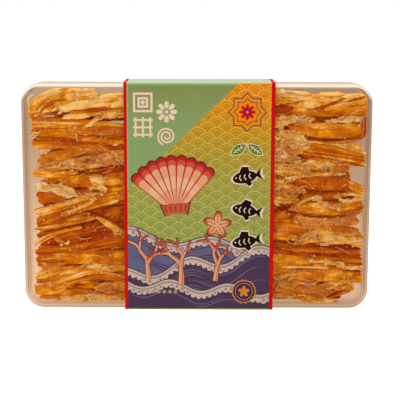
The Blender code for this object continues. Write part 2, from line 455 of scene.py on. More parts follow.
def build_box(lid_plastics, tray_plastics):
    front = LID_LOW.y
    lip = LID_HIGH.y
    inside = rounding(WALL, front + WALL, 1, EDGE - WALL + GAP)
    steps = rounding(0.0, front, 1, EDGE) + [(0.0, lip), (WALL, lip)] + inside[::-1]
    shell("lid_shell", steps, lid_plastics, "box_lid")

    back = TRAY_HIGH.y
    ledge = lip + GAP
    neck_top = TRAY_LOW.y
    neck = WALL + GAP
    inside = rounding(DRAFT + WALL, back - WALL, -1, EDGE - WALL + GAP)
    steps = rounding(DRAFT, back, -1, EDGE) + [
        (0.0, ledge),
        (neck, ledge),
        (neck, neck_top),
        (neck + WALL, neck_top),
        (neck + WALL, ledge + WALL / 2),
        (WALL, ledge + WALL),
    ]
    shell("tray_shell", steps + inside[::-1], tray_plastics, "box_tray")


# Torn squid. Heights, and places along the box from the middle of the sleeve, are in millimetres.
# A depth is in millimetres behind the inside of the lid, or of the tray for what faces back.

FRONT_Y = LID_LOW.y / MM + WALL / MM
BACK_Y = TRAY_HIGH.y / MM - WALL / MM
CLEAR = 0.25

# How each kind of torn piece is shaped, in millimetres: its thickness, how high its fibres and its
# rumples stand, how far its edges fall away, how ragged its sides and ends are, its mesh steps,
# and how strongly its grain is marked
Style = namedtuple("Style", "thick ribs rumple crown fray tear step pitch grain")
STYLES = {
    "bed": Style(4.2, 0.85, 0.80, 0.9, 0.8, 1.6, 1.0, 0.60, 0.45),
    "sheet": Style(0.9, 0.17, 0.55, 1.2, 0.6, 1.6, 0.7, 0.50, 0.26),
    "strap": Style(1.0, 0.36, 0.20, 0.5, 0.4, 1.3, 0.8, 0.38, 0.5),
    "shred": Style(0.8, 0.26, 0.72, 0.9, 1.1, 2.0, 0.55, 0.40, 0.34),
    "flake": Style(0.4, 0.20, 0.55, 0.5, 0.8, 1.3, 0.45, 0.40, 0.3),
    "fibre": Style(0.22, 0.0, 0.0, 0.0, 0.1, 0.2, 1.2, 1.0, 0.3),
}


def catmull(a, b, c, d, share):
    """A smooth curve from b to c."""
    return 0.5 * (
        2 * b
        + (c - a) * share
        + (2 * a - 5 * b + 4 * c - d) * share**2
        + (3 * b - a - 3 * c + d) * share**3
    )


class Path:
    """A smooth path through (along, height, width) points, read by its share of length."""

    def __init__(self, points):
        self.points = points
        steps = [math.dist(a[:2], b[:2]) for a, b in zip(points, points[1:])]
        self.length = sum(steps)
        self.knots = [sum(steps[:n]) / self.length for n in range(len(points))]

    def at(self, share):
        share = min(max(share, 0.0), 1.0)
        n = 0
        while n < len(self.points) - 2 and share > self.knots[n + 1]:
            n += 1
        part = (share - self.knots[n]) / (self.knots[n + 1] - self.knots[n])
        near = [self.points[min(max(n + k, 0), len(self.points) - 1)] for k in (-1, 0, 1, 2)]
        return [catmull(*values, part) for values in zip(*near)]

    def across(self, share):
        """The direction across the path."""
        a = self.at(share - 0.01)
        b = self.at(share + 0.01)
        along, up = b[0] - a[0], b[1] - a[1]
        size = math.hypot(along, up) or 1.0
        return -up / size, along / size


def smooth(share):
    share = min(max(share, 0.0), 1.0)
    return share * share * (3 - 2 * share)


def ridged(along, across, seed):
    """Noise with sharp grooves, from 0 in a groove to 1 on a crest."""
    return min(1.0, abs(noise.noise((along, across, seed))) * 2.6)


def hold_inside(x, y, z):
    """The nearest place to a point, in millimetres, that is clear of the box's walls."""
    inset = (2 * WALL + GAP) / MM + CLEAR
    corner = CORNER / MM
    radius = corner - inset
    reach_x = BOX_HALF_X / MM - corner
    reach_z = BOX_HALF_Z / MM - corner
    middle = MIDDLE_Z / MM
    near_x = min(max(x, -reach_x), reach_x)
    near_z = middle + min(max(z - middle, -reach_z), reach_z)
    beyond = math.hypot(x - near_x, z - near_z)
    if beyond > radius:
        x = near_x + (x - near_x) * radius / beyond
        z = near_z + (z - near_z) * radius / beyond
    return x, min(max(y, FRONT_Y + CLEAR), BACK_Y - CLEAR), z


def squid_mesh():
    bm = bmesh.new()
    bm.verts.layers.float_vector.new("fibre")
    for name in MARKS:
        bm.verts.layers.float.new(name)
    return bm


def squid_layers(bm):
    layers = bm.verts.layers
    return [layers.float_vector["fibre"], *(layers.float[name] for name in MARKS)]


def add_leaf(bm, kind, points, depth, tone, pale, seed, facing=-1, tilt=0.0, rise=0.0):
    """One torn leaf of squid: a thin closed pillow along a path, ribbed by its fibres."""
    style = STYLES[kind]
    path = Path(points)
    rows = max(4, round(path.length / style.step))
    columns = max(2, round(max(width for _, _, width in points) / style.pitch))
    layers = squid_layers(bm)
    verts = bmesh.ops.create_grid(bm, x_segments=rows, y_segments=2 * columns, size=0.5)["verts"]
    face_y = FRONT_Y + depth if facing < 0 else BACK_Y - depth
    stations = {}
    for vert in verts:
        share = vert.co.x + 0.5
        turn = (vert.co.y + 0.5) * 2
        side = 1 if turn <= 1 else -1
        v = 2 * turn - 1 if side > 0 else 3 - 2 * turn
        edge_seed = seed + (40 if v > 0 else 80)
        key = round(share * rows)
        if key not in stations:
            stations[key] = (path.at(share), path.across(share))
        (x, z, wide), (across_x, across_z) = stations[key]
        run = share * path.length
        to_end = min(run, path.length - run)
        half = wide / 2 * (0.72 + 0.28 * smooth(to_end / min(4.0, path.length / 2)))
        reach = v * half
        edge = abs(v) ** 3
        jag = noise.noise((run * 0.35, edge_seed, 1.0))
        notches = 0.9 * noise.noise((run * 0.9, edge_seed, 4.0))
        jag += notches * noise.noise((run * 0.15, edge_seed, 5.0))
        jag += 0.25 * noise.noise((run * 2.2, edge_seed, 6.0))
        reach += math.copysign(edge * style.fray * jag * 1.5, v)
        ends = noise.noise((reach * 0.7, seed, 2.0)) + 0.2 * noise.noise((reach * 2.4, seed, 6.0))
        slip = style.tear * ends * (1 - smooth(to_end / 9.0)) * (1 if share > 0.5 else -1)
        ribs = 0.6 * ridged(run * 0.035, reach * 0.45, seed)
        ribs += 0.4 * ridged(run * 0.06, reach * 1.15, seed + 3)
        lumps = noise.noise((run * 0.20, reach * 0.30, seed + 8))
        lumps += 0.55 * noise.noise((run * 0.55, reach * 0.70, seed + 4))
        relief = style.ribs * (ribs - 0.5) + style.rumple * lumps
        taper = min(2.0, path.length / 4)
        body = math.sqrt(max(0.0, 1 - v**4)) * smooth(to_end / taper)
        fall = style.crown * (0.6 + 1.4 * noise.noise((run * 0.07, edge_seed, 7.0)))
        out = style.thick / 2 * body * side + (relief if side > 0 else -0.3 * relief) * body
        out += 0.8 * noise.noise((run * 0.05, seed, 9.0)) - fall * v * v
        out += reach * tilt + (share - 0.5) * path.length * rise
        px, py, pz = hold_inside(
            x + SLEEVE_X / MM + across_x * reach + across_z * slip,
            face_y + facing * out,
            z + across_z * reach - across_x * slip,
        )
        glow = noise.noise((run * 0.06, reach * 0.25, seed + 11))
        # Torn edges are paler, the upper edge more than the lower as a painted highlight of light from
        # above.
        rim = edge * (1.0 if v > 0 else 0.4)
        # The relief mark is low in the creases and high on the crests; the flesh ramp turns it into
        # painted shade and highlight.
        marks = (
            (run, reach, seed),
            0.5 + 1.1 * min(1.0, style.ribs * 2.2) * (ribs - 0.5) + style.rumple * lumps,
            tone + 0.16 * glow,
            pale * (0.7 + 0.3 * max(rim, 1 - smooth(to_end / 2.0))),
            style.grain,
        )
        for layer, value in zip(layers, marks):
            vert[layer] = value
        vert.co = (px * MM, py * MM, pz * MM)
    bmesh.ops.remove_doubles(bm, verts=verts, dist=0.00001)


def add_bundle(bm, tones, points, depth, pale, draw):
    """Straps that lie side by side from the top down, one for each tone, some over others."""
    count = len(tones)
    for number, tone in enumerate(tones):
        share = 0.5 - (number + 0.5) / count
        strap = []
        for along, height, width in points:
            sway = draw.uniform(-0.10, 0.10) * width / count
            strap.append((along, height + share * width + sway, width / count * 1.35))
        start_along, start_height, start_width = strap[0]
        strap[0] = (start_along + draw.uniform(-0.6, 1.8), start_height, start_width * 1.15)
        lying = depth + draw.uniform(-0.35, 0.45)
        add_leaf(bm, "strap", strap, lying, tone, pale, draw.uniform(0, 900))


def add_shred(bm, points, depth, tone, pale, draw, facing=-1):
    """A torn, fluffy stretch: a crumpled leaf under small curled flakes and loose fibres."""
    add_leaf(bm, "shred", points, depth, tone, pale * 0.8, draw.uniform(0, 900), facing)
    path = Path(points)
    area = path.length * sum(width for _, _, width in points) / len(points)
    for number in range(round(area * 0.27)):
        x, z, wide = path.at(draw.uniform(0.02, 0.98))
        lying = "flake" if number % 2 else "fibre"
        z += draw.uniform(-0.6, 0.6) * wide
        turn = draw.gauss(0.0, 0.4)
        length = draw.uniform(1.8, 5.0) if lying == "flake" else draw.uniform(2.0, 6.0)
        width = draw.uniform(0.5, 1.4) if lying == "flake" else draw.uniform(0.18, 0.34)
        bend = draw.uniform(-0.25, 0.25) * length
        leaf = [
            (
                x + part * length / 2 * math.cos(turn) - (0 if part else bend) * math.sin(turn),
                z + part * length / 2 * math.sin(turn) + (0 if part else bend) * math.cos(turn),
                width,
            )
            for part in (-1, 0, 1)
        ]
        add_leaf(
            bm,
            lying,
            leaf,
            depth - draw.uniform(0.3, 1.0),
            tone + draw.uniform(-0.18, 0.16),
            pale * draw.uniform(0.5, 1.15),
            draw.uniform(0, 900),
            facing,
            tilt=draw.uniform(-0.5, 0.5),
            rise=draw.uniform(-0.15, 0.15),
        )


def add_torn(bm, kind, points, depth, tone, pale, draw, facing=-1):
    if kind == "shred":
        add_shred(bm, points, depth, tone, pale, draw, facing)
    else:
        add_leaf(bm, kind, points, depth, tone, pale, draw.uniform(0, 900), facing)


# Kind, tone, paleness, depth, then (along, height, width) points. A bundle has a tone for each strap.
TORN_STRIPS = {
    "left_1": (
        ("sheet", 0.78, 0.35, 2.3, (-83, 99.5, 5), (-78, 103, 7), (-71, 106, 9), (-62, 106, 9),
         (-52, 103, 10), (-37, 103, 10), (-28, 103, 10)),
        ("sheet", 0.62, 0.12, 1.7, (-81.5, 98.5, 3), (-76, 101.5, 6), (-70, 103.5, 6.5),
         (-63, 103.5, 5)),
        ("sheet", 0.46, 0.05, 1.6, (-84, 97.2, 2), (-80, 97.8, 3), (-75.5, 98.3, 2)),
        ("strap", 0.48, 0.1, 1.2, (-80.5, 98.5, 0.8), (-77.5, 103.3, 1.1), (-72, 106.3, 1.2),
         (-65.5, 107.3, 0.8)),
        ("strap", 0.4, 0.05, 1.2, (-79, 97.5, 0.8), (-75, 101.8, 1.1), (-70.5, 104.3, 1.1),
         (-66, 105, 0.7)),
        ("sheet", 0.84, 0.35, 1.5, (-70, 100.8, 3), (-62, 101.8, 5.5), (-53, 103, 5)),
        ("flake", 0.9, 1.0, 1.1, (-72, 99.6, 1), (-70, 101.4, 1.5)),
        ("flake", 0.85, 0.9, 1.1, (-69.5, 98.3, 1), (-67.3, 99.5, 1.3)),
        ("sheet", 0.84, 0.3, 1.5, (-55, 103.3, 4), (-45, 104, 6), (-30, 104.3, 6)),
        ("strap", 0.66, 0.4, 1.8, (-83, 100.5, 4), (-81, 98, 4), (-79, 97.5, 3)),
        ("shred", 0.85, 0.95, 1.6, (-60, 107.5, 2), (-54, 108.3, 3.5), (-49, 106.5, 2)),
        ("sheet", 0.86, 0.15, 1.9, (-67.5, 96.3, 2), (-61, 97, 3.5), (-54, 97.6, 2.5)),
        ("strap", 0.58, 0.25, 2.0, (-57, 98, 2), (-48, 98.6, 2.5), (-34, 100.5, 2)),
        ("strap", 0.34, 0.1, 1.6, (-64, 99, 1.5), (-51, 100, 2.5), (-37, 100.5, 4), (-29, 100.5, 4)),
        ("shred", 0.72, 0.6, 1.2, (-57, 91.5, 1), (-49, 96.5, 2), (-42, 98, 3), (-31, 97.5, 2.5)),
        # Thin leaves along the crest, light in tone and pale as a painted highlight of light from above
        ("sheet", 0.9, 0.55, 1.8, (-75, 107, 2), (-67, 110, 3.5), (-60, 109.3, 3.5), (-55, 106.5, 2)),
        ("sheet", 0.92, 0.6, 1.7, (-50, 105.5, 2.5), (-40, 106.8, 3), (-28, 107, 3)),
        ("fibre", 0.8, 0.5, 1.6, (-83, 101, 0.8), (-84, 104.3, 0.7), (-83, 106.8, 0.6),
         (-80.7, 107.3, 0.5)),
    ),
    "left_2": (
        ("bundle", (0.5, 0.62, 0.54, 0.36, 0.44, 0.52, 0.24, 0.4, 0.62), 0.2, 2.0, (-83, 88.5, 14.5),
         (-60, 88.3, 14.5), (-37, 86.5, 13), (-28, 86, 13)),
        ("sheet", 0.54, 0.4, 1.2, (-66, 89.5, 2), (-54, 90, 4.5), (-40, 89.5, 4.5), (-30, 90, 4)),
        ("sheet", 0.56, 0.25, 1.3, (-60, 85.5, 2), (-52, 85.5, 3.5), (-42, 84.5, 2.5),
         (-30, 84.5, 2.5)),
        ("sheet", 0.16, 0.0, 1.7, (-48, 82, 2), (-42, 82, 3.5), (-29, 81.5, 4)),
        ("fibre", 0.9, 1.0, 0.8, (-61, 89.8, 0.7), (-59.9, 88.4, 1.0), (-60.8, 87, 0.9),
         (-59.8, 85.4, 0.6)),
        ("flake", 0.85, 1.0, 0.9, (-60.6, 86.6, 0.8), (-59.6, 85, 1.1)),
        ("flake", 0.85, 1.0, 0.8, (-42, 82.7, 1), (-40.2, 83.7, 1.4)),
        ("fibre", 0.85, 1.0, 0.7, (-41.4, 83.6, 0.7), (-39.8, 84.9, 0.9), (-38.2, 85.2, 0.6)),
        ("fibre", 0.9, 1.0, 1.0, (-82.7, 87, 0.7), (-81.3, 89, 0.9), (-79, 88.6, 0.7),
         (-78, 90.5, 0.5)),
        ("fibre", 0.85, 0.9, 1.1, (-82.7, 85.6, 0.6), (-81, 86.6, 1.0), (-79.6, 86.2, 0.6)),
        ("flake", 0.85, 0.9, 1.1, (-81.5, 87.5, 1), (-79.8, 87.7, 1.2)),
    ),
    "left_3": (
        ("strap", 0.52, 0.3, 2.0, (-79, 76.8, 1.5), (-68, 79.3, 2), (-54, 79.6, 3), (-37, 78.8, 4),
         (-28, 78.8, 4)),
        ("flake", 0.75, 0.8, 1.6, (-78, 80.5, 1.5), (-75, 77.8, 1.5)),
        ("sheet", 0.5, 0.4, 1.7, (-80, 74.3, 2), (-71, 76.5, 4), (-60, 77.5, 3)),
        ("shred", 0.58, 0.7, 1.3, (-79, 72, 2), (-68, 72.8, 4.5), (-53, 74.3, 6), (-41, 76.3, 6),
         (-28, 76.3, 6)),
        ("sheet", 0.6, 0.15, 1.9, (-82.5, 68.5, 3), (-76, 68.3, 4), (-66, 68.3, 3.5), (-60, 68.5, 2.5)),
        ("sheet", 0.12, 0.0, 2.1, (-54, 70.3, 2), (-45, 70.5, 4), (-28, 70.8, 4.5)),
    ),
    "left_4": (
        ("sheet", 0.56, 0.2, 2.0, (-73, 65, 3), (-66, 64.7, 5), (-54, 65, 6.5), (-38, 66.2, 7),
         (-28, 66.2, 7)),
        ("shred", 0.76, 0.75, 1.0, (-54, 66, 2.5), (-49.5, 65.7, 4), (-46.5, 65, 2)),
        ("shred", 0.8, 0.9, 0.9, (-53, 62.8, 2), (-49, 62, 3.2), (-46, 60.5, 2)),
        ("strap", 0.3, 0.0, 2.2, (-79, 64.5, 1.5), (-70, 64.2, 1.5)),
        ("shred", 0.85, 1.2, 1.2, (-80.3, 62.4, 2.5), (-77, 62, 4), (-73.8, 61.3, 3)),
        ("shred", 0.85, 1.3, 1.2, (-73.8, 61.5, 3.5), (-69, 60.3, 5.5), (-65, 59, 5),
         (-60.5, 57.8, 1.5)),
    ),
    "left_5": (
        ("sheet", 0.38, 0.05, 2.0, (-80.5, 56, 6.5), (-74.5, 57, 7), (-61, 58, 5), (-53, 59, 3.5)),
        ("sheet", 0.42, 0.15, 2.2, (-62, 55, 3), (-47, 59, 5), (-40, 60.5, 5), (-28, 61.3, 5)),
        ("shred", 0.7, 0.75, 1.1, (-82.5, 49.2, 1), (-74.5, 51.7, 1.8), (-65.5, 54, 2), (-57, 57, 1.5),
         (-46, 59.2, 1)),
    ),
    "left_6": (
        ("bundle", (0.58, 0.5, 0.4, 0.52), 0.2, 1.7, (-82, 46, 8), (-69, 49.8, 7.5), (-52, 54.5, 6),
         (-40, 57, 5)),
        ("shred", 0.66, 0.65, 1.1, (-68.5, 48.3, 1), (-58, 51.8, 1.5), (-52, 55.8, 1.5), (-48, 57, 1)),
        ("sheet", 0.52, 0.35, 1.6, (-57, 51.7, 3), (-43.5, 55.7, 5), (-38, 57, 5), (-28, 57.2, 5)),
    ),
    "left_7": (
        ("bundle", (0.5, 0.34, 0.46), 0.1, 2.3, (-81.5, 42, 6), (-66, 45.5, 5), (-50, 49, 5)),
        ("sheet", 0.12, 0.0, 2.2, (-59, 47.6, 2.5), (-50, 48.3, 4), (-38, 49.6, 6), (-25, 50.6, 6)),
        ("sheet", 0.48, 0.3, 1.6, (-66.5, 45, 1.5), (-59, 46.9, 3.7), (-54, 47.9, 2)),
        ("strap", 0.56, 0.4, 1.5, (-82, 40.5, 1.5), (-70, 42, 2), (-54, 45.4, 1.5), (-50.5, 46.5, 1)),
        ("sheet", 0.14, 0.0, 2.2, (-58, 42, 3), (-51, 41.5, 5), (-43.5, 40, 4.5), (-34, 39, 4)),
        ("sheet", 0.66, 0.45, 1.0, (-51, 46.8, 1), (-47, 44.3, 2.6), (-42.5, 41, 3.2), (-36, 37, 2.4)),
        ("strap", 0.8, 0.7, 0.8, (-51.5, 47, 0.8), (-46, 44.9, 1), (-41, 41.8, 1.2),
         (-36.5, 38.6, 0.8)),
        ("shred", 0.64, 0.6, 1.1, (-47, 42.9, 1), (-41.5, 39.4, 1.8), (-37, 36.8, 1.2)),
    ),
    "left_8": (
        ("strap", 0.6, 0.3, 1.3, (-82.8, 33, 0.8), (-75, 37.3, 1.2), (-65, 40.4, 1.5),
         (-58, 41.6, 1.5)),
        ("strap", 0.6, 0.3, 1.5, (-82.5, 32, 0.6), (-75, 36, 1), (-69.8, 38.7, 1)),
        ("bundle", (0.24, 0.13, 0.19), 0.02, 2.2, (-81, 35, 6), (-66, 35.7, 7), (-48, 38.5, 5.5),
         (-28, 40.5, 5)),
        ("sheet", 0.46, 0.2, 1.6, (-74, 37.5, 1.5), (-70, 35, 3.5), (-66.5, 32.7, 1.5)),
        ("flake", 0.85, 1.0, 0.9, (-66.6, 33.2, 0.9), (-65.1, 34.2, 1.3)),
        ("flake", 0.85, 1.0, 0.9, (-69.4, 32.3, 0.7), (-68.1, 33.3, 1.1)),
    ),
    "left_9": (
        ("bundle", (0.24, 0.36, 0.18, 0.38), 0.05, 1.9, (-82, 28.5, 5), (-60, 31.3, 6),
         (-38.5, 35.3, 6), (-28, 36, 6)),
        ("flake", 0.0, 0.0, 0.9, (-57, 30.3, 1.5), (-51.5, 33, 2)),
    ),
    "left_10": (
        ("sheet", 0.42, 0.12, 1.8, (-81.5, 26.3, 5), (-70, 26.4, 7), (-55, 26.2, 7.5), (-38, 25.7, 8),
         (-25, 26, 8)),
        ("sheet", 0.48, 0.15, 1.5, (-53.5, 24, 2.5), (-40, 24.5, 5.5), (-25, 25, 6)),
        ("sheet", 0.4, 0.3, 1.4, (-81, 23, 3.5), (-74, 21.7, 3.5), (-66, 23.5, 1.5)),
    ),
    "left_11": (
        ("shred", 0.7, 0.7, 1.2, (-56, 21.4, 1.5), (-50, 21.2, 3), (-43, 20.5, 2)),
        ("sheet", 0.6, 0.35, 1.5, (-62, 20.5, 2), (-50, 20.5, 3.5), (-28, 20.8, 4)),
        ("sheet", 0.66, 0.45, 1.5, (-82, 15.7, 4), (-75, 18, 5), (-65, 19.6, 4), (-58, 20, 3)),
        ("sheet", 0.56, 0.3, 1.9, (-82, 13.5, 3), (-74, 15.5, 4), (-62, 17.5, 3)),
    ),
    "left_12": (
        ("strap", 0.66, 0.4, 1.2, (-83.2, 10.7, 2), (-75, 12.2, 3), (-65, 15.2, 2.5), (-56, 18.4, 2.5),
         (-48, 18, 2), (-35, 15.5, 2.5)),
        ("strap", 0.46, 0.2, 1.5, (-70, 11.4, 2), (-58, 14.9, 2), (-49, 16, 2.5), (-35, 14.5, 3)),
        ("sheet", 0.54, 0.25, 1.6, (-83, 8.4, 3.5), (-74, 9.2, 4.5), (-66, 11, 3)),
        ("shred", 0.44, 0.55, 1.4, (-52, 10.3, 3), (-41, 11.3, 5), (-25, 11.3, 5)),
        ("sheet", 0.16, 0.1, 1.2, (-45, 12, 1.5), (-38, 10.3, 2)),
    ),
    "left_13": (
        ("sheet", 0.52, 0.2, 1.8, (-80.5, 5.3, 1.5), (-73, 6.3, 3), (-60, 7.7, 4.5), (-46, 6.3, 3.5),
         (-28, 6.3, 3)),
        ("shred", 0.66, 0.8, 1.4, (-72, 4.8, 1.5), (-58, 5.3, 3.5), (-40, 5.0, 2.5), (-28, 5, 2.5)),
        ("flake", 0.85, 0.95, 0.9, (-56, 4.8, 1.5), (-52, 5.6, 2.5), (-48.5, 5.6, 1.5)),
    ),
    "right_1": (
        ("sheet", 0.76, 0.34, 1.9, (28, 105, 6), (45, 105, 8), (62, 104.5, 7), (79, 104.5, 7),
         (83, 103, 4)),
        ("sheet", 0.54, 0.12, 2.2, (28, 99, 5), (48, 100.2, 6), (70, 100.5, 7), (82.5, 100.7, 7)),
        # Thin leaves along the crest, light in tone and pale as a painted highlight of light from above
        ("sheet", 0.88, 0.6, 1.5, (38, 107.3, 1.2), (45, 108.4, 2.2), (54, 108.4, 1.2)),
        ("sheet", 0.9, 0.6, 1.4, (55, 107, 1.2), (63, 108, 2), (71, 108.3, 1.2)),
        ("sheet", 0.88, 0.6, 1.3, (69, 106.8, 1.2), (76, 107.5, 2), (82, 107.8, 1.5)),
        ("strap", 0.16, 0.0, 1.3, (39, 102.8, 0.5), (48, 104, 0.9), (57, 107, 0.6)),
        ("strap", 0.2, 0.0, 1.3, (57, 101, 0.5), (64, 103.3, 0.9), (71, 106, 0.5)),
        ("strap", 0.2, 0.0, 1.3, (67, 102.3, 0.5), (74, 104.8, 0.8), (81, 107.2, 0.5)),
        ("sheet", 0.86, 0.25, 1.5, (70, 101, 3), (77, 101.8, 4), (83, 102.5, 4)),
        ("strap", 0.72, 0.4, 1.3, (61, 100.5, 2), (70, 103.3, 2.5), (81.5, 106, 2)),
        ("strap", 0.62, 0.25, 1.4, (69, 99.5, 2), (82, 102.7, 2)),
        ("strap", 0.56, 0.15, 1.6, (72.5, 98, 1.5), (82.5, 100.5, 2.5)),
        ("shred", 0.9, 1.0, 1.1, (36.5, 109, 1.8), (42, 108.5, 2.5), (48, 107.5, 1.5)),
        ("sheet", 0.06, 0.0, 1.7, (28, 100.5, 5), (40, 100.5, 4), (46, 101.3, 2.5)),
        ("fibre", 0.66, 0.5, 1.2, (77.5, 110, 0.9), (80.3, 108.6, 1.1), (82.5, 105.5, 1.0),
         (83, 102.5, 0.8)),
    ),
    "right_2": (
        ("sheet", 0.56, 0.15, 1.6, (44, 91.5, 4), (60, 90.2, 7.5), (75, 90.2, 8), (80.5, 90.7, 7)),
        ("sheet", 0.64, 0.25, 1.4, (50, 93.2, 1.5), (60, 92.6, 3), (70, 93.5, 1.5)),
        ("shred", 0.76, 0.85, 1.0, (28, 93.5, 4), (38, 94.3, 5.5), (47, 96, 3), (55, 94.6, 1.5)),
        ("shred", 0.76, 0.9, 1.0, (62, 94.8, 1.2), (69, 95.4, 2.2), (75, 96.4, 3.2), (79, 95.5, 2.5)),
        ("strap", 0.44, 0.1, 1.5, (81.2, 97.5, 2), (81.2, 91.5, 3), (80.4, 86.5, 2.4)),
        ("strap", 0.34, 0.25, 1.4, (54, 85.6, 1), (67, 84.7, 1.5), (80.3, 86.4, 1)),
        ("flake", 0.0, 0.0, 1.0, (50, 87.4, 1.5), (54.5, 86, 1)),
        ("shred", 0.66, 0.75, 1.2, (28, 87.5, 5), (43.5, 86.8, 7), (53.5, 84, 4)),
        ("shred", 0.62, 0.75, 1.3, (28, 80.3, 6), (44.5, 80.8, 7), (55, 84, 3)),
        ("shred", 0.6, 0.8, 1.2, (32, 76.8, 4), (45, 76.8, 4.5), (49, 76, 2.5)),
    ),
    "right_3": (
        ("bundle", (0.64, 0.5, 0.56, 0.38, 0.5, 0.34, 0.46, 0.28, 0.36), 0.15, 1.6, (50.5, 81, 9),
         (66, 79, 10), (82, 76, 7)),
        ("strap", 0.74, 0.45, 1.3, (73.5, 76.3, 1.5), (82, 73.8, 2)),
        ("shred", 0.7, 0.75, 1.2, (67.5, 84, 1.5), (77, 82.3, 3.5), (79, 80.3, 3)),
    ),
    "right_4": (
        ("shred", 0.7, 0.65, 1.4, (45.5, 72.7, 3), (58, 74.2, 5), (69.5, 73.7, 2.5)),
        ("sheet", 0.44, 0.15, 1.2, (51.5, 73.3, 2), (59, 72.7, 3)),
        ("shred", 0.64, 0.75, 1.3, (29, 71.8, 5), (44, 70.7, 6), (55, 68.8, 3)),
        ("shred", 0.46, 0.45, 1.2, (62, 69.3, 2), (70, 71.5, 4.5), (74, 71.3, 3.5)),
        ("sheet", 0.34, 0.08, 1.5, (44.5, 64.2, 3), (58, 64.5, 7.5), (70.5, 64, 7.5), (74, 64.2, 7)),
        ("shred", 0.68, 0.7, 1.0, (42.5, 66.2, 1.5), (57, 68.6, 1.7), (69, 69, 1.5)),
        ("bundle", (0.66, 0.48, 0.6), 0.35, 1.7, (72.5, 63.7, 4), (79.5, 61, 4.5), (82, 60.2, 3.5)),
        ("shred", 0.58, 0.65, 1.2, (29, 63.7, 5), (42.5, 62.7, 6), (52, 60.5, 2.5)),
    ),
    "right_5": (
        ("shred", 0.5, 0.6, 1.4, (29, 56.6, 5), (43.5, 56.6, 6), (48.5, 55.7, 4)),
        ("sheet", 0.26, 0.05, 2.0, (49.5, 56.7, 4), (65.5, 57.4, 5), (72.5, 57.2, 4)),
        ("shred", 0.7, 0.65, 1.2, (67.5, 57.7, 1), (76.5, 58.6, 1.5), (81.5, 57.7, 1.5)),
        ("shred", 0.7, 0.65, 1.2, (69, 56.7, 1.5), (73, 55, 1.5), (79, 57, 1)),
        ("flake", 0.0, 0.0, 1.4, (71.5, 57, 1), (78.5, 56.7, 1)),
    ),
    "right_6": (
        ("sheet", 0.5, 0.32, 1.4, (45.5, 51.6, 3), (57, 51.3, 6.5), (70, 51.0, 6.5), (81.5, 53.1, 6.5)),
        ("shred", 0.72, 0.85, 0.9, (48, 52.9, 1), (56.5, 56.7, 1.5), (63.5, 53, 1.5), (70.5, 52.2, 2),
         (76.5, 55.4, 1.5), (81, 56, 1.5)),
        ("sheet", 0.02, 0.0, 1.4, (39.5, 52, 2.5), (45, 49.8, 2.5)),
        ("sheet", 0.4, 0.15, 1.6, (28, 47.6, 5), (45.5, 47.6, 3), (51.5, 48, 1.5)),
        ("shred", 0.44, 0.4, 1.4, (72.5, 48, 3), (81.5, 51.6, 4.5)),
    ),
    "right_7": (
        ("shred", 0.48, 0.7, 1.2, (47.5, 46, 3), (62.5, 44.3, 4), (75.5, 45, 4), (79.5, 45, 3.5)),
        ("flake", 0.0, 0.0, 0.8, (59.5, 45, 1), (63.5, 45.3, 1)),
        ("sheet", 0.5, 0.22, 1.6, (25, 42.5, 8), (42, 42, 10), (56, 40.5, 9), (69, 40, 6),
         (80.5, 38.7, 4)),
        ("sheet", 0.56, 0.35, 1.4, (28, 37.5, 4), (40, 37.3, 5), (50, 36.3, 3)),
        ("sheet", 0.18, 0.05, 2.0, (63.5, 41.6, 2.5), (77.5, 40.5, 2.5)),
    ),
    "right_8": (
        ("shred", 0.62, 0.7, 1.2, (47.5, 34, 2.5), (58.5, 37.3, 6), (70.5, 36.6, 6.5), (79, 36.2, 3.5)),
        ("shred", 0.58, 0.6, 1.4, (75.5, 38.5, 3), (82, 37, 3)),
        ("strap", 0.6, 0.45, 1.5, (75.5, 34, 2), (82, 32.5, 3)),
    ),
    "right_9": (
        ("bundle", (0.16, 0.3, 0.2, 0.34), 0.1, 1.9, (25, 32, 8), (45.5, 29.7, 8), (65.5, 29, 8),
         (81, 28.3, 7)),
        ("strap", 0.44, 0.3, 1.5, (60.5, 29.2, 1), (75, 29, 1), (81, 28, 1)),
        ("strap", 0.4, 0.1, 1.7, (56.5, 26, 3), (73, 25.2, 4.5), (81.5, 24.7, 4)),
    ),
    "right_10": (
        ("sheet", 0.6, 0.3, 1.5, (25, 27.5, 5), (44.5, 25.3, 5.5), (58, 23.5, 5), (66, 22, 3)),
        ("sheet", 0.46, 0.2, 1.7, (28, 22, 4), (48.5, 21.8, 4.5), (66, 20.3, 4.5), (74, 19.5, 3)),
        ("shred", 0.74, 0.8, 1.0, (55, 24.7, 1.5), (66, 24.2, 2), (74, 21.4, 1.5), (82.5, 21, 1.5)),
        ("strap", 0.32, 0.05, 1.7, (73, 23.2, 2), (82, 22.7, 2)),
    ),
    "right_11": (
        ("strap", 0.3, 0.05, 1.8, (71, 19.4, 2.5), (81.5, 18.4, 3)),
        ("strap", 0.85, 1.0, 0.9, (41.5, 21.7, 1), (56, 21.5, 1), (64.5, 21, 1)),
        ("sheet", 0.56, 0.32, 1.5, (25, 17.2, 7.5), (40, 18.4, 8), (52, 17.2, 8), (64, 18.2, 8),
         (77, 16.2, 6)),
        ("shred", 0.66, 0.65, 1.1, (37.5, 16, 1.5), (53, 18.6, 2), (57, 17.4, 1.5)),
        ("sheet", 0.48, 0.15, 1.5, (70, 16.8, 3), (77.5, 16, 5), (82.5, 14.8, 5)),
    ),
    "right_12": (
        ("shred", 0.52, 0.7, 1.2, (30, 12, 4), (49, 14, 4), (58.5, 12.4, 2)),
        ("shred", 0.58, 0.6, 1.2, (60, 11, 2.5), (71, 12.2, 4), (76.5, 14, 3.5)),
        ("sheet", 0.52, 0.32, 1.6, (27, 12, 5), (44, 11.2, 6.5), (58, 9.4, 6.5), (70, 9.6, 6.5),
         (77.5, 12, 5)),
        ("strap", 0.22, 0.05, 1.3, (64, 6, 1.5), (70, 8.2, 2), (76, 11.2, 2)),
    ),
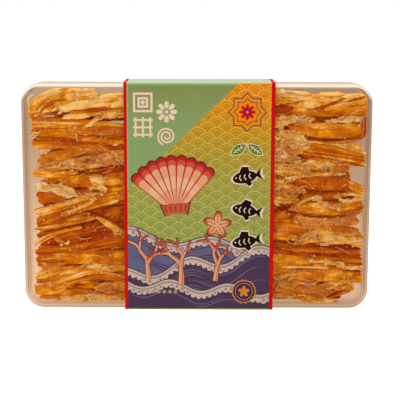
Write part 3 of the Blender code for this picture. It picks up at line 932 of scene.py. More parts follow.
    "right_13": (
        ("shred", 0.48, 0.5, 1.4, (28, 8, 3), (46, 7.3, 3.5), (60, 4.5, 2.5), (68.5, 4, 2)),
        ("strap", 0.62, 0.6, 1.2, (51, 4, 1.5), (61, 3.6, 1.8), (68.5, 3.6, 1.5)),
    ),
}

# Full-length strips under those: left end, left of the sleeve, right of the sleeve and right end
# as (along, height), then the widths of the left and right halves
BED_STRIPS = (
    ((-81, 101), (-45, 102.5), (45, 102.0), (80, 102.0), 9.5, 11.0),
    ((-82, 92.5), (-45, 89.8), (45, 91.5), (79, 90.5), 6.0, 12.5),
    ((-82, 85.0), (-45, 84.5), (45, 83.0), (80, 78.5), 9.5, 11.0),
    ((-76, 74.0), (-45, 74.0), (45, 73.5), (68, 71.0), 12.0, 11.5),
    ((-77, 61.5), (-45, 64.0), (45, 64.5), (71, 64.0), 12.5, 12.0),
    ((-78, 51.5), (-45, 55.5), (45, 57.0), (78, 55.5), 11.0, 10.5),
    ((-78, 44.0), (-45, 48.0), (45, 49.5), (78, 50.5), 10.0, 10.5),
    ((-78, 37.0), (-45, 40.5), (45, 41.5), (75, 41.0), 10.0, 11.0),
    ((-79, 30.0), (-45, 33.0), (45, 33.0), (78, 30.0), 10.0, 10.5),
    ((-78, 23.5), (-45, 25.0), (45, 25.0), (78, 23.5), 10.0, 10.0),
    ((-79, 16.5), (-45, 18.5), (45, 18.5), (75, 17.5), 9.5, 10.0),
    ((-80, 10.0), (-45, 11.8), (45, 11.5), (74, 10.5), 9.0, 9.5),
    ((-78, 6.0), (-45, 6.5), (45, 7.5), (66, 5.0), 4.5, 4.5),
)
BED_DEPTH = 5.0
BED_TONES = (0.34, 0.30, 0.28, 0.34, 0.32, 0.30, 0.28, 0.22, 0.22, 0.30, 0.36, 0.36, 0.36)

# Strips in the middle of the box, and those that show through its back
MIDDLE_HEIGHTS = (8, 19, 30, 41, 52, 63, 74, 85, 99.5)
MIDDLE_DEPTHS = (8.6, 13.0)
MIDDLE_WIDTH = 10.0
BACK_HEIGHTS = (7.5, 18.5, 29.5, 40.5, 51.5, 62.5, 73.5, 84.5, 99.5)
BACK_DEPTH = 4.6
BACK_WIDTH = 10.5
BACK_LEAVES = 5
BACK_SHARES = {"sheet": 0.65, "strap": 0.3, "shred": 0.5}


def strip_piece(name, bm, material):
    return new_piece(name, bm, material, "squid_strips")


def build_beds(material):
    pieces = []
    for number, (start, left, right, end, wide_left, wide_right) in enumerate(BED_STRIPS):
        points = (
            (*start, wide_left * 0.85),
            (*left, wide_left),
            (0.0, (left[1] + right[1]) / 2, (wide_left + wide_right) / 2),
            (*right, wide_right),
            (*end, wide_right * 0.85),
        )
        bm = squid_mesh()
        add_leaf(bm, "bed", points, BED_DEPTH, BED_TONES[number], 0.1, number * 3.7)
        pieces.append(strip_piece(f"under_strip_{number + 1}", bm, material))
    return pieces


def build_front(material):
    draw = random.Random(5)
    pieces = []
    for name, leaves in TORN_STRIPS.items():
        bm = squid_mesh()
        for kind, tone, pale, depth, *points in leaves:
            if kind == "bundle":
                add_bundle(bm, tone, points, depth, pale, draw)
            else:
                add_torn(bm, kind, points, depth, tone, pale, draw)
        pieces.append(strip_piece(f"torn_{name}", bm, material))
    return pieces


def build_middle(material):
    """Thick strips in the middle of the box, which fill it between its front and its back."""
    draw = random.Random(23)
    bm = squid_mesh()
    for height in MIDDLE_HEIGHTS:
        for depth in MIDDLE_DEPTHS:
            points = [
                (side * draw.uniform(66, 73), height + draw.uniform(-0.8, 0.8), MIDDLE_WIDTH)
                for side in (-1, 1)
            ]
            points.insert(1, (0.0, height, MIDDLE_WIDTH))
            add_leaf(bm, "bed", points, depth, 0.2, 0.0, draw.uniform(0, 900))
    strip_piece("middle_strips", bm, material)


def build_back(material):
    """Strips that face the back of the box, each with torn leaves, straps and shreds on it."""
    draw = random.Random(41)
    for number, height in enumerate(BACK_HEIGHTS):
        wide = BACK_WIDTH
        lean = draw.uniform(-1.2, 1.2) if 12 < height < 90 else 0.0
        ends = (draw.uniform(-77, -73), draw.uniform(72, 77))
        spine = [(ends[0], height - lean, wide), (0.0, height, wide), (ends[1], height + lean, wide)]
        tone = draw.uniform(0.25, 0.4)
        bm = squid_mesh()
        add_leaf(bm, "bed", spine, BACK_DEPTH, tone, 0.1, draw.uniform(0, 900), facing=1)
        for _ in range(BACK_LEAVES):
            kind = draw.choice(("sheet", "sheet", "strap", "shred"))
            middle = draw.uniform(-62, 62)
            length = draw.uniform(12, 30)
            across = draw.uniform(-0.25, 0.25) * wide
            slope = draw.uniform(-0.06, 0.06)
            size = wide * BACK_SHARES[kind]
            points = [
                (
                    min(max(middle + part * length, ends[0]), ends[1]) + part,
                    height + across + slope * part * length,
                    size * (1.0 if part == 0 else 0.6),
                )
                for part in (-1, 0, 1)
            ]
            pale = draw.uniform(0.5, 0.9) if kind == "shred" else draw.uniform(0.05, 0.35)
            lying = draw.uniform(1.2, 2.2)
            tone = draw.uniform(0.35, 0.68)
            add_torn(bm, kind, points, lying, tone, pale, draw, facing=1)
        strip_piece(f"back_strip_{number + 1}", bm, material)


# Loose crumbs and fibres, which lie on whatever is under them

CRUMBS = 420
LOOSE_FIBRES = 110
SPECKS = 16


def surface_under(pieces, x, z):
    """The depth, in millimetres, of the nearest squid behind the lid at a place, or None."""
    start = Vector((x * MM, LID_LOW.y - 0.05, z * MM))
    depths = []
    for piece in pieces:
        hit, place, _, _ = piece.ray_cast(start, Vector((0.0, 1.0, 0.0)))
        if hit:
            depths.append(place.y / MM)
    return min(depths) if depths else None


def add_crumb(bm, place, size, tone, pale, draw):
    """One small squashed crumb."""
    made = bmesh.ops.create_icosphere(bm, subdivisions=1, radius=size * MM)["verts"]
    turn = Matrix.Rotation(draw.uniform(0, math.tau), 3, "Y")
    shape = Vector((draw.uniform(0.7, 1.5), draw.uniform(0.5, 0.9), draw.uniform(0.6, 1.1)))
    layers = squid_layers(bm)
    for vert in made:
        jog = Vector([draw.uniform(0.7, 1.3) for _ in range(3)])
        vert.co = turn @ (vert.co * shape * jog) + Vector(place) * MM
        for layer, value in zip(layers, (vert.co / MM, 0.9, tone, pale, 0.2)):
            vert[layer] = value


def build_loose(material, pieces):
    bpy.context.view_layer.update()
    draw = random.Random(17)
    bm = squid_mesh()
    placed = 0
    while placed < CRUMBS:
        x = draw.choice((-1, 1)) * draw.uniform(38, 82)
        z = draw.uniform(5, 109)
        depth = surface_under(pieces, x, z)
        if depth is None:
            continue
        placed += 1
        size = draw.uniform(0.16, 0.30) + 0.35 * draw.random() ** 4
        y = max(depth - 0.3 * size, FRONT_Y + 2 * size)
        add_crumb(bm, (x, y, z), size, draw.uniform(0.6, 0.95), draw.uniform(0.5, 1.4), draw)
    for _ in range(SPECKS):
        place = (draw.choice((-1, 1)) * draw.uniform(40, 83), FRONT_Y + 0.3, draw.uniform(6, 110))
        add_crumb(bm, place, draw.uniform(0.14, 0.24), 0.95, 1.3, draw)
    strip_piece("loose_crumbs", bm, material)

    bm = squid_mesh()
    for _ in range(LOOSE_FIBRES):
        x = draw.choice((-1, 1)) * draw.uniform(42, 78)
        z = draw.uniform(7, 106)
        depth = surface_under(pieces, x, z)
        if depth is None:
            continue
        length = draw.uniform(3.0, 11.0)
        turn = draw.gauss(0.0, 0.28)
        bend = draw.gauss(0.0, 0.10) * length
        width = draw.uniform(0.22, 0.45)
        points = [
            (
                x - SLEEVE_X / MM + part * length / 2 * math.cos(turn),
                z + part * length / 2 * math.sin(turn) + (1 - abs(part)) * bend,
                width,
            )
            for part in (-1, 0, 1)
        ]
        tone = draw.uniform(0.5, 0.9)
        lying = max(depth - FRONT_Y - 0.15, 0.3)
        add_leaf(bm, "fibre", points, lying, tone, draw.uniform(0.2, 0.8), draw.uniform(0, 900))
    strip_piece("loose_fibres", bm, material)


# Printed card sleeve. Its print is set out in millimetres from its middle and from the floor.

CARD_LEFT = -35.4
CARD_RIGHT = 35.1
CARD_BASE = 0.9
PRINT_SHADE = 0.71
SCALE_WIDTH = 9.35
SCALE_STEP = 2.63
SCALE_MIDDLE = (13.3, 95.5)
SCALE_RINGS = ((4.42, 0.30, 1.0), (3.10, 0.26, 0.55))
CORNER_FOLD = (19.5, 114.0)
CORNER_SLOPE = 0.965

RED = srgb(208, 0, 4)
NAVY = srgb(78, 55, 80)
SLATE = srgb(101, 96, 127)
LILAC = srgb(158, 136, 140)
FOAM = srgb(208, 180, 160)
CREAM = srgb(240, 206, 176)
PEACH = srgb(228, 158, 116)
CORAL = srgb(204, 84, 56)
DARK_RED = srgb(104, 24, 22)
ORANGE = srgb(236, 138, 0)
LEAF_GREEN = srgb(64, 130, 8)
INK = srgb(30, 12, 10)
TAN = srgb(180, 152, 106)
LABEL = srgb(240, 230, 208)
SCALE_GLINT = srgb(252, 214, 112)
FIELD_COLOURS = (
    (0.26, srgb(138, 152, 76)),
    (0.42, srgb(146, 153, 72)),
    (0.54, srgb(156, 152, 64)),
    (0.67, srgb(174, 146, 38)),
    (0.78, srgb(199, 139, 6)),
    (0.92, srgb(228, 132, 0)),
)
CORNER_COLOURS = ((0.50, srgb(138, 163, 104)), (0.75, srgb(137, 160, 99)), (0.93, srgb(133, 144, 82)))

# The label on the back: its middle, its width and height, and its ruled lines
LABEL_MIDDLE = (0.0, 60.0)
LABEL_SIZE = (56.6, 70.6)
LABEL_RIM = 1.4
RULES = [87.0 - number * 5.4 for number in range(11)]


def scale_pattern(across, up):
    """Rows of overlapping ringed scales, the lower in front: up to 1 on a line, 0 between."""
    radius = SCALE_WIDTH / 2
    middle_across, middle_up = SCALE_MIDDLE
    below = (middle_up + 20 * SCALE_STEP) - up
    row = (below + radius).maths("DIVIDE", SCALE_STEP).maths("FLOOR")
    rise = row * SCALE_STEP - below
    from_middle = across - middle_across - row.maths("MODULO", 2.0) * radius
    distances = []
    for back in range(3):
        aside = from_middle + radius if back == 1 else from_middle
        aside = aside.maths("WRAP", radius, -radius)
        height = rise - back * SCALE_STEP
        distances.append((aside * aside + height * height).maths("SQRT"))
    front, second, distance = distances
    for nearer in (second, front):
        distance = (nearer - distance) * nearer.under(radius) + distance
    lines = 0.0
    for ring, half, strength in SCALE_RINGS:
        off = (distance - ring).size()
        lines = off.spread(half * 0.4, half, strength, 0.0).larger(lines)
    return lines


def varnished_card():
    """Satin varnished card: a faint fibre in its colour and a slight orange peel."""
    group = bpy.data.node_groups.new("varnished_card", "ShaderNodeTree")
    for name, side, kind in (
        ("Print", "INPUT", "Color"),
        ("Colour", "OUTPUT", "Color"),
        ("Roughness", "OUTPUT", "Float"),
        ("Normal", "OUTPUT", "Vector"),
    ):
        group.interface.new_socket(name=name, in_out=side, socket_type=f"NodeSocket{kind}")
    printed = outputs_of(group, "NodeGroupInput")["Print"]
    place = object_place(group)
    fibre = place.noise(1400.0, 2.0)
    cloud = place.noise(60.0, 2.0)
    shade = (fibre * 0.14 + (cloud * 0.06 + 0.90)) * PRINT_SHADE
    finish = {
        "Colour": mix(group, 1.0, printed, shade, "MULTIPLY"),
        "Roughness": fibre.spread(0.3, 0.7, 0.42, 0.55),
        "Normal": fibre.bump(0.03 * MM, 0.4),
    }
    set_inputs(group.nodes.new("NodeGroupOutput"), finish)
    return group


def varnish(tree, shader, group, printed):
    """Gives a printed colour the card's finish."""
    node = tree.nodes.new("ShaderNodeGroup")
    node.node_tree = group
    set_value(node.inputs["Print"], printed)
    for name, output in (("Base Color", "Colour"), ("Roughness", "Roughness"), ("Normal", "Normal")):
        tree.links.new(node.outputs[output], shader.inputs[name])
    set_value(shader.inputs["Specular IOR Level"], 0.06)


def card_material(group):
    """The sleeve's print, its bare inside and its cut edges."""
    material, tree, shader = new_material("printed_card")
    place = object_place(tree)
    across, deep, up = (part * (1 / MM) for part in place.parts())
    across = across - SLEEVE_X / MM
    facing_x, facing_y, facing_z = face_normal(tree).parts()
    high = up.maths("DIVIDE", 120.0)

    field = (across * 0.0006 + high).ramp(FIELD_COLOURS)
    line = mix(tree, 0.46, field, SCALE_GLINT)
    field = mix(tree, scale_pattern(across, up), field, line)

    fold_across, fold_up = CORNER_FOLD
    over_fold = up - fold_up - (across - fold_across) * CORNER_SLOPE
    fold_line = over_fold.size().spread(0.12, 0.34, 0.55, 0.0)
    edge_line = across.spread(CARD_LEFT + 0.45, CARD_LEFT + 0.7, 0.7, 0.0)
    layers = (
        (fold_line, srgb(92, 172, 128)),
        (edge_line, srgb(140, 190, 130)),
        # A paler green band along the top crease: a painted highlight
        (up.spread(112.0, 113.6), srgb(140, 186, 128)),
    )
    corner = layered(tree, high.ramp(CORNER_COLOURS), layers)

    outward = facing_z * (up - MIDDLE_Z / MM) + facing_y * deep
    board = place.noise(900.0, 3.0, stretch=(1, 1, 3))
    inside = board.ramp(((0.3, srgb(176, 168, 154)), (0.7, srgb(206, 200, 188))))
    layers = (
        (over_fold.spread(-0.1, 0.1) * deep.under(0.0), corner),
        (facing_z.over(0.5), srgb(184, 196, 166)),
        (facing_z.under(-0.6), SLATE),
        (across.under(CARD_LEFT).larger(across.over(CARD_RIGHT)), RED),
        (outward.under(0.0), inside),
        (facing_x.size().over(0.6), srgb(232, 226, 214)),
    )
    varnish(tree, shader, group, layered(tree, field, layers))
    return material


def ink_material(group):
    """Printed colour, held on the vertices, with the card's own finish."""
    material, tree, shader = new_material("printed_ink")
    varnish(tree, shader, group, attribute(tree, "ink", "Color"))
    return material


# Printed shapes: thin flat pieces, each a little prouder than what it lies on

INK_STEP = 0.010
ART_LEVEL = 19


class Sheet:
    """Printed shapes gathered in one mesh for the front or the back of the sleeve."""

    def __init__(self, facing=-1):
        self.bm = bmesh.new()
        self.ink = self.bm.verts.layers.float_color.new("ink")
        self.facing = facing
        self.face_y = (SLEEVE_LOW.y if facing < 0 else SLEEVE_HIGH.y) / MM
        self.count = 0

    def add(self, outline, colour, level):
        """A flat shape with the given outline, drawn out from just inside the card."""
        self.count += 1
        front = self.face_y + self.facing * INK_STEP * (level + 1 + self.count % 5 / 11)
        back = self.face_y - self.facing * INK_STEP
        sides = len(outline)
        made = bmesh.ops.create_circle(self.bm, cap_ends=True, radius=1.0, segments=sides)
        ring = made["verts"]
        for vert, (a, b) in zip(ring, outline):
            a = min(max(a, CARD_LEFT), CARD_RIGHT)
            vert.co = ((SLEEVE_X / MM + a) * MM, front * MM, max(b, CARD_BASE) * MM)
        face = ring[0].link_faces[0]
        made = bmesh.ops.extrude_face_region(self.bm, geom=[face], use_keep_orig=True)
        behind = [item for item in made["geom"] if isinstance(item, bmesh.types.BMVert)]
        for vert in behind:
            vert.co.y = back * MM
        for vert in ring + behind:
            vert[self.ink] = (*colour, 1.0)

    def finish(self, name, material):
        bmesh.ops.recalc_face_normals(self.bm, faces=self.bm.faces)
        return new_piece(name, self.bm, material, smooth_shading=False)


def turned(points, middle, angle=0.0, size=1.0):
    """Points turned about the origin, scaled, and moved to a place."""
    sine, cosine = math.sin(math.radians(angle)), math.cos(math.radians(angle))
    return [
        (
            middle[0] + size * (a * cosine - b * sine),
            middle[1] + size * (a * sine + b * cosine),
        )
        for a, b in points
    ]


def petalled(middle, radius, lobes, depth, turn=0.0, steps=12):
    """A ring whose radius swells once for each lobe."""
    points = []
    for step in range(lobes * steps):
        angle = math.tau * step / (lobes * steps)
        reach = radius * (1 - depth + depth * abs(math.cos(angle * lobes / 2)))
        points.append((reach * math.cos(angle), reach * math.sin(angle)))
    return turned(points, middle, turn)


def disc(middle, radius, steps=12):
    return petalled(middle, radius, 3, 0.0, steps=steps)


def star(middle, points, outer, inner):
    """A star with straight sides."""
    corners = []
    for step in range(2 * points):
        angle = math.pi * step / points
        reach = inner if step % 2 else outer
        corners.append((reach * math.cos(angle), reach * math.sin(angle)))
    return turned(corners, middle)


def ribbon(line, width):
    """The outline of a band of even width, or of one width at each point, along a line."""
    widths = width if isinstance(width, (list, tuple)) else [width] * len(line)
    left, right = [], []
    for number, (a, b) in enumerate(line):
        before = line[max(number - 1, 0)]
        after = line[min(number + 1, len(line) - 1)]
        run, climb = after[0] - before[0], after[1] - before[1]
        size = math.hypot(run, climb) or 1.0
        half = widths[number] / 2
        left.append((a - climb / size * half, b + run / size * half))
        right.append((a + climb / size * half, b - run / size * half))
    return left + right[::-1]


def box_shape(middle, wide, tall, angle=0.0):
    half_wide, half_tall = wide / 2, tall / 2
    corners = (
        (-half_wide, -half_tall),
        (half_wide, -half_tall),
        (half_wide, half_tall),
        (-half_wide, half_tall),
    )
    return turned(corners, middle, angle)


# Water: each band's height, the rise and length of its swell, where that starts, how much it
# climbs to the right, and the colours of its body and of the strokes along it
Band = namedtuple("Band", "height swell length start climb body stroke")
BANDS = (
    Band(35.5, 3.0, 41.0, 0.5, -4.5, SLATE, NAVY),
    Band(25.0, 3.4, 34.0, 2.5, 6.0, NAVY, SLATE),
    Band(12.5, 2.4, 29.0, 4.6, -2.5, NAVY, SLATE),
)
CONTOUR = 0.45
CREST = 3.3


def band_line(band, drop, start=CARD_LEFT, end=CARD_RIGHT, steps=90):
    """The band's top line, lowered by drop."""
    line = []
    for step in range(steps + 1):
        a = start + (end - start) * step / steps
        swell = band.swell * math.sin(math.tau * a / band.length + band.start)
        line.append((a, band.height - drop + band.climb * a / 36 + swell))
    return line


def add_band(sheet, band, level, draw):
    """A striped body of water with a pale crest, which breaks into lobes along its lower edge."""
    top = band_line(band, 0.0)
    floor = [(CARD_RIGHT, CARD_BASE), (CARD_LEFT, CARD_BASE)]
    sheet.add(top + floor, band.body, level)
    for number in range(11):
        drop = CREST + 1.0 + number * 1.35
        start = draw.uniform(CARD_LEFT, 6.0)
        stroke = band_line(band, drop, start, min(start + draw.uniform(16, 46), CARD_RIGHT), 40)
        if min(b for _, b in stroke) > CARD_BASE + 0.6:
            widths = [0.62 * math.sin(math.pi * step / 40) + 0.04 for step in range(41)]
            sheet.add(ribbon(stroke, widths), band.stroke, level + 1)
    lobes = band_line(band, CREST, steps=26)
    sizes = [draw.uniform(0.9, 1.7) for _ in lobes]
    for (a, b), size in zip(lobes, sizes):
        sheet.add(disc((a, b), size + CONTOUR), NAVY, level + 2)
    crest = top + band_line(band, CREST)[::-1]
    sheet.add(crest, FOAM, level + 3)
    for (a, b), size in zip(lobes, sizes):
        sheet.add(disc((a, b), size), FOAM, level + 3.5)
    for (a, b), size in zip(lobes, sizes):
        if size > 1.25:
            sheet.add(disc((a, b + 0.3), size * 0.55), LILAC, level + 4)
    shadow = band_line(band, CREST * 0.45)
    sheet.add(ribbon(shadow, 0.9), LILAC, level + 4)
    sheet.add(ribbon(top, CONTOUR), NAVY, level + 4.5)


def add_shell(sheet):
    """A scallop shell over the water."""
    hinge = (-11.5, 51.0)
    reach = 27.0
    lobes = 9
    half_turn = 52.0
    tilt = 5
    outline = [(-3.4, 0.0), (3.4, 0.0)]
    for step in range(lobes * 8 + 1):
        turn = math.radians(90 - half_turn + 2 * half_turn * step / (lobes * 8))
        swell = reach * (0.95 + 0.05 * abs(math.sin(math.pi * step / 8)))
        outline.append((swell * math.cos(turn), swell * math.sin(turn)))
    level = ART_LEVEL
    for size, colour in (
        (1.025, DARK_RED),
        (1.0, srgb(186, 34, 30)),
        (0.93, CORAL),
        (0.84, PEACH),
        (0.62, srgb(236, 178, 138)),
        (0.40, PEACH),
    ):
        sheet.add(turned(outline, hinge, tilt, size), colour, level)
        level += 0.5
    for rib in range(1, lobes):
        turn = 90 - half_turn + 2 * half_turn * rib / lobes + tilt
        ray = [(reach * part, 0.0) for part in (0.12, 0.5, 0.94)]
        sheet.add(ribbon(turned(ray, hinge, turn), (0.25, 0.5, 0.9)), srgb(186, 34, 30), level)
    wings = [(-7.0, 2.8), (-5.2, -2.6), (-1.6, -1.4), (1.6, -1.4), (5.2, -2.6), (7.0, 2.8)]
    sheet.add(turned(wings, hinge, tilt, 1.1), DARK_RED, level + 0.5)
    sheet.add(turned(wings, hinge, tilt), CORAL, level + 1)
    for step in (-4.6, -2.3, 0.0, 2.3, 4.6):
        line = turned([(step, -0.8), (step * 1.15, 2.2)], hinge, tilt)
        sheet.add(ribbon(line, 0.4), DARK_RED, level + 1.5)


def add_branch(sheet, draw, foot, angle, length, width, forks):
    """One stem of coral, which forks towards its tips."""
    bend = draw.uniform(-30, 30)
    line = [foot]
    steps = 10
    for step in range(steps):
        turn = math.radians(angle + bend * step / steps)
        last = line[-1]
        line.append(
            (last[0] + length / steps * math.cos(turn), last[1] + length / steps * math.sin(turn))
        )
    widths = [width * (1 - 0.4 * step / steps) for step in range(steps + 1)]
    level = ART_LEVEL + 4 - forks
    sheet.add(ribbon(line, [wide + 0.5 for wide in widths]), DARK_RED, level)
    sheet.add(disc(line[-1], widths[-1] * 0.5 + 0.25), DARK_RED, level)
    sheet.add(ribbon(line, widths), PEACH if forks else CORAL, level + 0.5)
    sheet.add(disc(line[-1], widths[-1] * 0.5), PEACH if forks else CORAL, level + 0.5)
    if forks > 1:
        side = [(a + 0.22 * width, b) for a, b in line]
        sheet.add(ribbon(side, [wide * 0.3 for wide in widths]), srgb(206, 110, 80), level + 0.8)
    if forks:
        for side in (-1, 1):
            start = line[-1 if side > 0 else -4]
            add_branch(
                sheet,
                draw,
                start,
                angle + bend + side * draw.uniform(20, 36),
                length * draw.uniform(0.66, 0.84),
                width * 0.66,
                forks - 1,
            )


def add_starfish(sheet, middle, radius, turn):
    """A five-armed starfish with a row of dots along each arm."""
    for grow, colour, level in ((0.55, DARK_RED, 0), (0.0, CORAL, 1), (-1.3, PEACH, 2)):
        shape = petalled(middle, radius + grow, 5, 0.62 + 0.02 * grow, turn)
        sheet.add(shape, colour, ART_LEVEL + level)
    for arm in range(5):
        angle = math.radians(turn + 72 * arm)
        for part in (0.25, 0.45, 0.65):
            dot = (
                middle[0] + radius * part * math.cos(angle),
                middle[1] + radius * part * math.sin(angle),
            )
            sheet.add(disc(dot, 0.32, steps=4), DARK_RED, ART_LEVEL + 3)


def fish_outline():
    """A plain fish that looks left, about 2.4 units long."""
    turns = [math.radians(180 - 16 * step) for step in range(11)]
    back = [(math.cos(turn), 0.50 * math.sin(turn)) for turn in turns]
    tail = [(0.98, 0.12), (1.42, 0.44), (1.28, 0.0), (1.42, -0.44), (0.98, -0.12)]
    belly = [(a, -b) for a, b in back[:0:-1]]
    return back + tail + belly


def add_fishes(sheet):
    """A column of three small dark fish with pale edges."""
    for number, height in enumerate((67.5, 51.0, 35.0)):
        middle = (22.4, height)
        turn = (12, -9, 11)[number]
        fin = [(-2.6, 2.2), (-0.4, 5.4), (2.9, 4.6), (2.6, 1.6)]
        under = [(-0.6, -2.4), (1.2, -4.9), (2.9, -4.1), (2.4, -1.8)]
        for size, colour, level in ((1.16, CREAM, ART_LEVEL), (1.0, INK, ART_LEVEL + 1)):
            sheet.add(turned(fish_outline(), middle, turn, 6.0 * size), colour, level)
            for shape in (fin, under):
                sheet.add(turned(shape, middle, turn, size), colour, level + 0.5)
        for mark in (-2.4, 0.0, 2.4):
            gill = turned([(mark + 0.5, -1.4), (mark - 0.3, 0.0), (mark + 0.5, 1.4)], middle, turn)
            sheet.add(ribbon(gill, 0.5), CREAM, ART_LEVEL + 2)
        sheet.add(disc(turned([(-4.3, 0.5)], middle, turn)[0], 0.4), CREAM, ART_LEVEL + 2)


def add_leaves(sheet):
    """A pair of small green leaves above the fish."""
    turns = [math.radians(degrees) for degrees in range(0, 181, 15)]
    half = [(math.cos(turn), 0.5 * math.sin(turn) ** 2) for turn in turns]
    leaf = half + [(a, -b) for a, b in half[::-1]][1:-1]
    for middle, turn in (((19.2, 81.2), 35), ((27.4, 81.2), -35)):
        sheet.add(turned(leaf, middle, turn, 5.0), CREAM, ART_LEVEL)
        sheet.add(turned(leaf, middle, turn, 4.3), LEAF_GREEN, ART_LEVEL + 1)
        vein = turned([(-3.2, 0.0), (3.2, 0.0)], middle, turn)
        sheet.add(ribbon(vein, 0.35), CREAM, ART_LEVEL + 2)
        for step in (-1.6, 0.0, 1.6):
            for side in (-1, 1):
                twig = turned([(step - 0.6, 0.0), (step + 0.6, side * 1.1)], middle, turn)
                sheet.add(ribbon(twig, 0.25), CREAM, ART_LEVEL + 2.5)


def add_badges(sheet):
    """A star badge by the top corner, and a scalloped one near the base."""
    top = (23.4, 99.6)
    plum = srgb(92, 44, 70)
    for reach, colour, level in ((9.7, plum, 3), (9.0, ORANGE, 4), (6.8, plum, 5), (6.3, ORANGE, 6)):
        sheet.add(star(top, 8, reach, reach * 0.765), colour, level)
    sheet.add(petalled(top, 4.1, 8, 0.5), RED, 7)
    sheet.add(disc(top, 1.5), srgb(70, 34, 90), 8)
    sheet.add(disc(top, 0.7), ORANGE, 9)
    base = (22.5, 9.6)
    gold = srgb(214, 134, 34)
    plum = srgb(66, 42, 78)
    shapes = (
        petalled(base, 6.2, 18, 0.10),
        petalled(base, 5.5, 18, 0.06),
        disc(base, 4.4),
        disc(base, 4.1),
        petalled(base, 2.9, 5, 0.55, 18),
    )
    for number, shape in enumerate(shapes):
        sheet.add(shape, plum if number % 2 else gold, ART_LEVEL + number)


def add_ornaments(sheet):
    """Four pale ornaments in the plain corner: a fret, a rosette, a lattice and a spiral."""
    fret = (-27.6, 104.2)
    for half in (4.8, 2.6):
        for turn in range(4):
            arm = turned([(half - 0.55, -half), (half - 0.55, half)], fret, 90 * turn)
            sheet.add(ribbon(arm, 1.1), CREAM, 3 + turn * 0.5)
    sheet.add(box_shape(fret, 1.9, 1.9, 45), CREAM, 3)
    rosette = (-16.0, 99.6)
    for petal in range(8):
        shape = [(1.3, 0.0), (2.8, 1.05), (4.7, 1.0), (5.3, 0.0), (4.7, -1.0), (2.8, -1.05)]
        sheet.add(turned(shape, rosette, 45 * petal), CREAM, 3)
    sheet.add(disc(rosette, 0.8), CREAM, 3)
    lattice = (-27.6, 92.0)
    for step in (-3.6, 0.0, 3.6):
        sheet.add(box_shape((lattice[0] + step, lattice[1]), 1.0, 9.8), CREAM, 3)
        sheet.add(box_shape((lattice[0], lattice[1] + step), 9.8, 1.0), CREAM, 3.5)
    spiral = (-16.0, 87.6)
    line = []
    for step in range(8, 44):
        turn = math.tau * step / 16
        line.append((0.27 * turn * math.cos(turn), 0.27 * turn * math.sin(turn)))
    sheet.add(ribbon(turned(line, spiral), 0.85), CREAM, 3)


def build_print(material):
    front = Sheet()
    draw = random.Random(8)
    for number, band in enumerate(BANDS):
        add_band(front, band, number * 6, draw)
    add_shell(front)
    for foot, angle, length, width in (
        ((-25, 16), 96, 10.5, 2.6),
        ((-9, 13), 84, 11.5, 3.0),
        ((8, 15), 80, 9.5, 2.4),
    ):
        add_branch(front, draw, foot, angle, length, width, 3)
    add_starfish(front, (9.0, 43.5), 6.6, 12)
    add_fishes(front)
    add_leaves(front)
    add_badges(front)
    add_ornaments(front)
    for number in range(7):
        front.add(box_shape((-28.5 + number * 2.8, 9.4), 1.5, 1.5, 45), TAN, ART_LEVEL)
    front.finish("front_print", material)

    back = Sheet(facing=1)
    wide, tall = LABEL_SIZE
    rim = box_shape(LABEL_MIDDLE, wide + LABEL_RIM, tall + LABEL_RIM)
    back.add(rim, srgb(120, 96, 40), 1)
    back.add(box_shape(LABEL_MIDDLE, wide, tall), LABEL, 2)
    for height in RULES:
        back.add(box_shape((0.0, height), 48.0, 0.35), TAN, 3)
    back.finish("back_print", material)


def build_seam(material):
    """The glued overlap low on the back of the sleeve."""
    bm = bmesh.new()
    verts = bmesh.ops.create_cube(bm, size=1.0)["verts"]
    size = Vector((SLEEVE_HALF * 2 - 0.4 * MM, 0.36 * MM, 13.0 * MM))
    bmesh.ops.scale(bm, verts=verts, vec=size)
    place = Vector((SLEEVE_X, SLEEVE_HIGH.y + 0.14 * MM, 12.5 * MM))
    bmesh.ops.translate(bm, verts=verts, vec=place)
    bmesh.ops.bevel(
        bm,
        geom=bm.edges,
        offset=0.12 * MM,
        segments=2,
        profile=0.5,
        affect="EDGES",
        material=-1,
    )
    new_piece("back_seam", bm, material, smooth_shading=False)


# Stage


def look_at(thing, place, target, roll=0.0):
    """Puts a camera or light at a place, turned to look at a target."""
    turn = (target - place).to_track_quat("-Z", "Y").to_matrix().to_4x4()
    thing.matrix_world = Matrix.Translation(place) @ turn @ Matrix.Rotation(roll, 4, "Z")


def add_camera():
    camera = bpy.data.cameras.new("camera")
    camera.lens = LENS
    camera.sensor_width = SENSOR_WIDTH
    camera.clip_start = 0.01
    holder = in_scene("camera", camera)
    centre = Vector((SLEEVE_X, SLEEVE_LOW.y, MIDDLE_Z))
    back = Vector((0.0, -math.cos(CAMERA_ELEVATION), math.sin(CAMERA_ELEVATION)))
    up = Vector((0.0, math.sin(CAMERA_ELEVATION), math.cos(CAMERA_ELEVATION)))
    aim = centre + Vector((AIM_RIGHT, 0.0, 0.0)) - up * AIM_DOWN
    look_at(holder, centre + back * CAMERA_DISTANCE, aim, CAMERA_ROLL)
    bpy.context.scene.camera = holder


def add_light(name, place, size, power, colour):
    lamp = bpy.data.lights.new(name, "AREA")
    lamp.shape = "RECTANGLE"
    lamp.size, lamp.size_y = size
    lamp.energy = power
    lamp.color = colour
    holder = in_scene(name, lamp)
    holder.visible_camera = False
    holder.visible_glossy = name != "rim"
    look_at(holder, Vector(place), Vector((0.0, 0.0, MIDDLE_Z)))


def seen_through(tree, path, colour, near=1.0):
    """The colour of the studio to the eye: beige where it shows through clear plastic."""
    past = path["Transparent Depth"].over(0.5) * path["Is Camera Ray"]
    beige = [part * share for part, share in zip(colour, PAST_PLASTIC)]
    return mix(tree, past, colour, mix(tree, 1.0, beige, near, "MULTIPLY"))


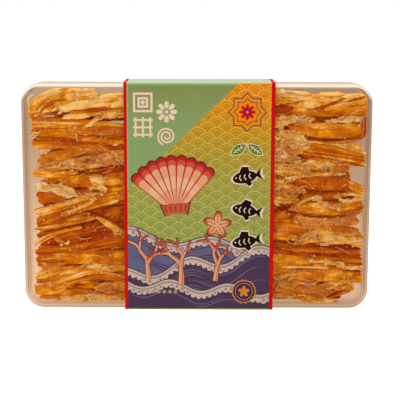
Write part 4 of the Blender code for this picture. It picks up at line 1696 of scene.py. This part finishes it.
def add_studio_world():
    """A white surround to the eye, dimmer as a light, and a beige backdrop in reflections."""
    world = bpy.data.worlds.new("studio")
    world.use_nodes = True
    tree = world.node_tree
    path = outputs_of(tree, "ShaderNodeLightPath")
    _, ahead, _ = outputs_of(tree, "ShaderNodeTexCoord")["Generated"].parts()
    backdrop = mix(tree, 1.0, BACKDROP, ahead.spread(-0.3, 0.5, 0.04, 1.0), "MULTIPLY")
    colour = mix(tree, path["Is Glossy Ray"], (WORLD_LIGHT,) * 3, backdrop)
    colour = mix(tree, path["Is Camera Ray"], colour, seen_through(tree, path, WHITE))
    set_value(tree.nodes["Background"].inputs["Color"], colour)
    bpy.context.scene.world = world
    bpy.context.scene.view_settings.view_transform = "Standard"


def floor_material():
    """A pale floor that glows to the eye and not in reflections."""
    material, tree, shader = new_material("pale_floor")
    path = outputs_of(tree, "ShaderNodeLightPath")
    reflected = path["Is Glossy Ray"]
    across, deep, _ = object_place(tree).parts()
    seen = seen_through(tree, path, (FLOOR_GREY,) * 3)
    glow = seen_through(tree, path, WHITE, deep.spread(0.0, 0.5, *NEAR_GLOW))
    strength = across.spread(-0.15, 0.15, *FLOOR_GLOW) * (1.0 - reflected)
    set_inputs(
        shader,
        {
            "Base Color": mix(tree, reflected, seen, FLOOR_MIRRORED),
            "Roughness": 0.8,
            "Specular IOR Level": 0.1,
            "Emission Color": glow,
            "Emission Strength": strength,
        },
    )
    return material


def build_stage():
    add_studio_world()
    bm = bmesh.new()
    bmesh.ops.create_grid(bm, x_segments=2, y_segments=2, size=FLOOR_HALF)
    in_scene("floor", mesh_of("floor", bm, floor_material()))
    for name, settings in LAMPS.items():
        add_light(name, *settings)


def build():
    pane = clear_material("clear_lid", (0.995, 0.99, 0.985), 0.2)
    wall = clear_material("clear_lid_wall", (0.99, 0.98, 0.97), 0.75, 0.85)
    floor = clear_material("clear_tray", (0.98, 0.97, 0.955), 0.2)
    deep_wall = clear_material("clear_tray_wall", (0.99, 0.98, 0.97), 0.85, 0.6)
    neck = clear_material("clear_neck", (0.985, 0.97, 0.955), 0.2)
    build_box((pane, wall, neck), (floor, deep_wall, neck))
    squid = squid_material()
    pieces = build_beds(squid) + build_front(squid)
    build_loose(squid, pieces)
    build_middle(squid)
    build_back(squid)
    finish = varnished_card()
    card = card_material(finish)
    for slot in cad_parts["sleeve"].material_slots:
        slot.material = card
    build_print(ink_material(finish))
    build_seam(card)
    build_stage()
    add_camera()


build()
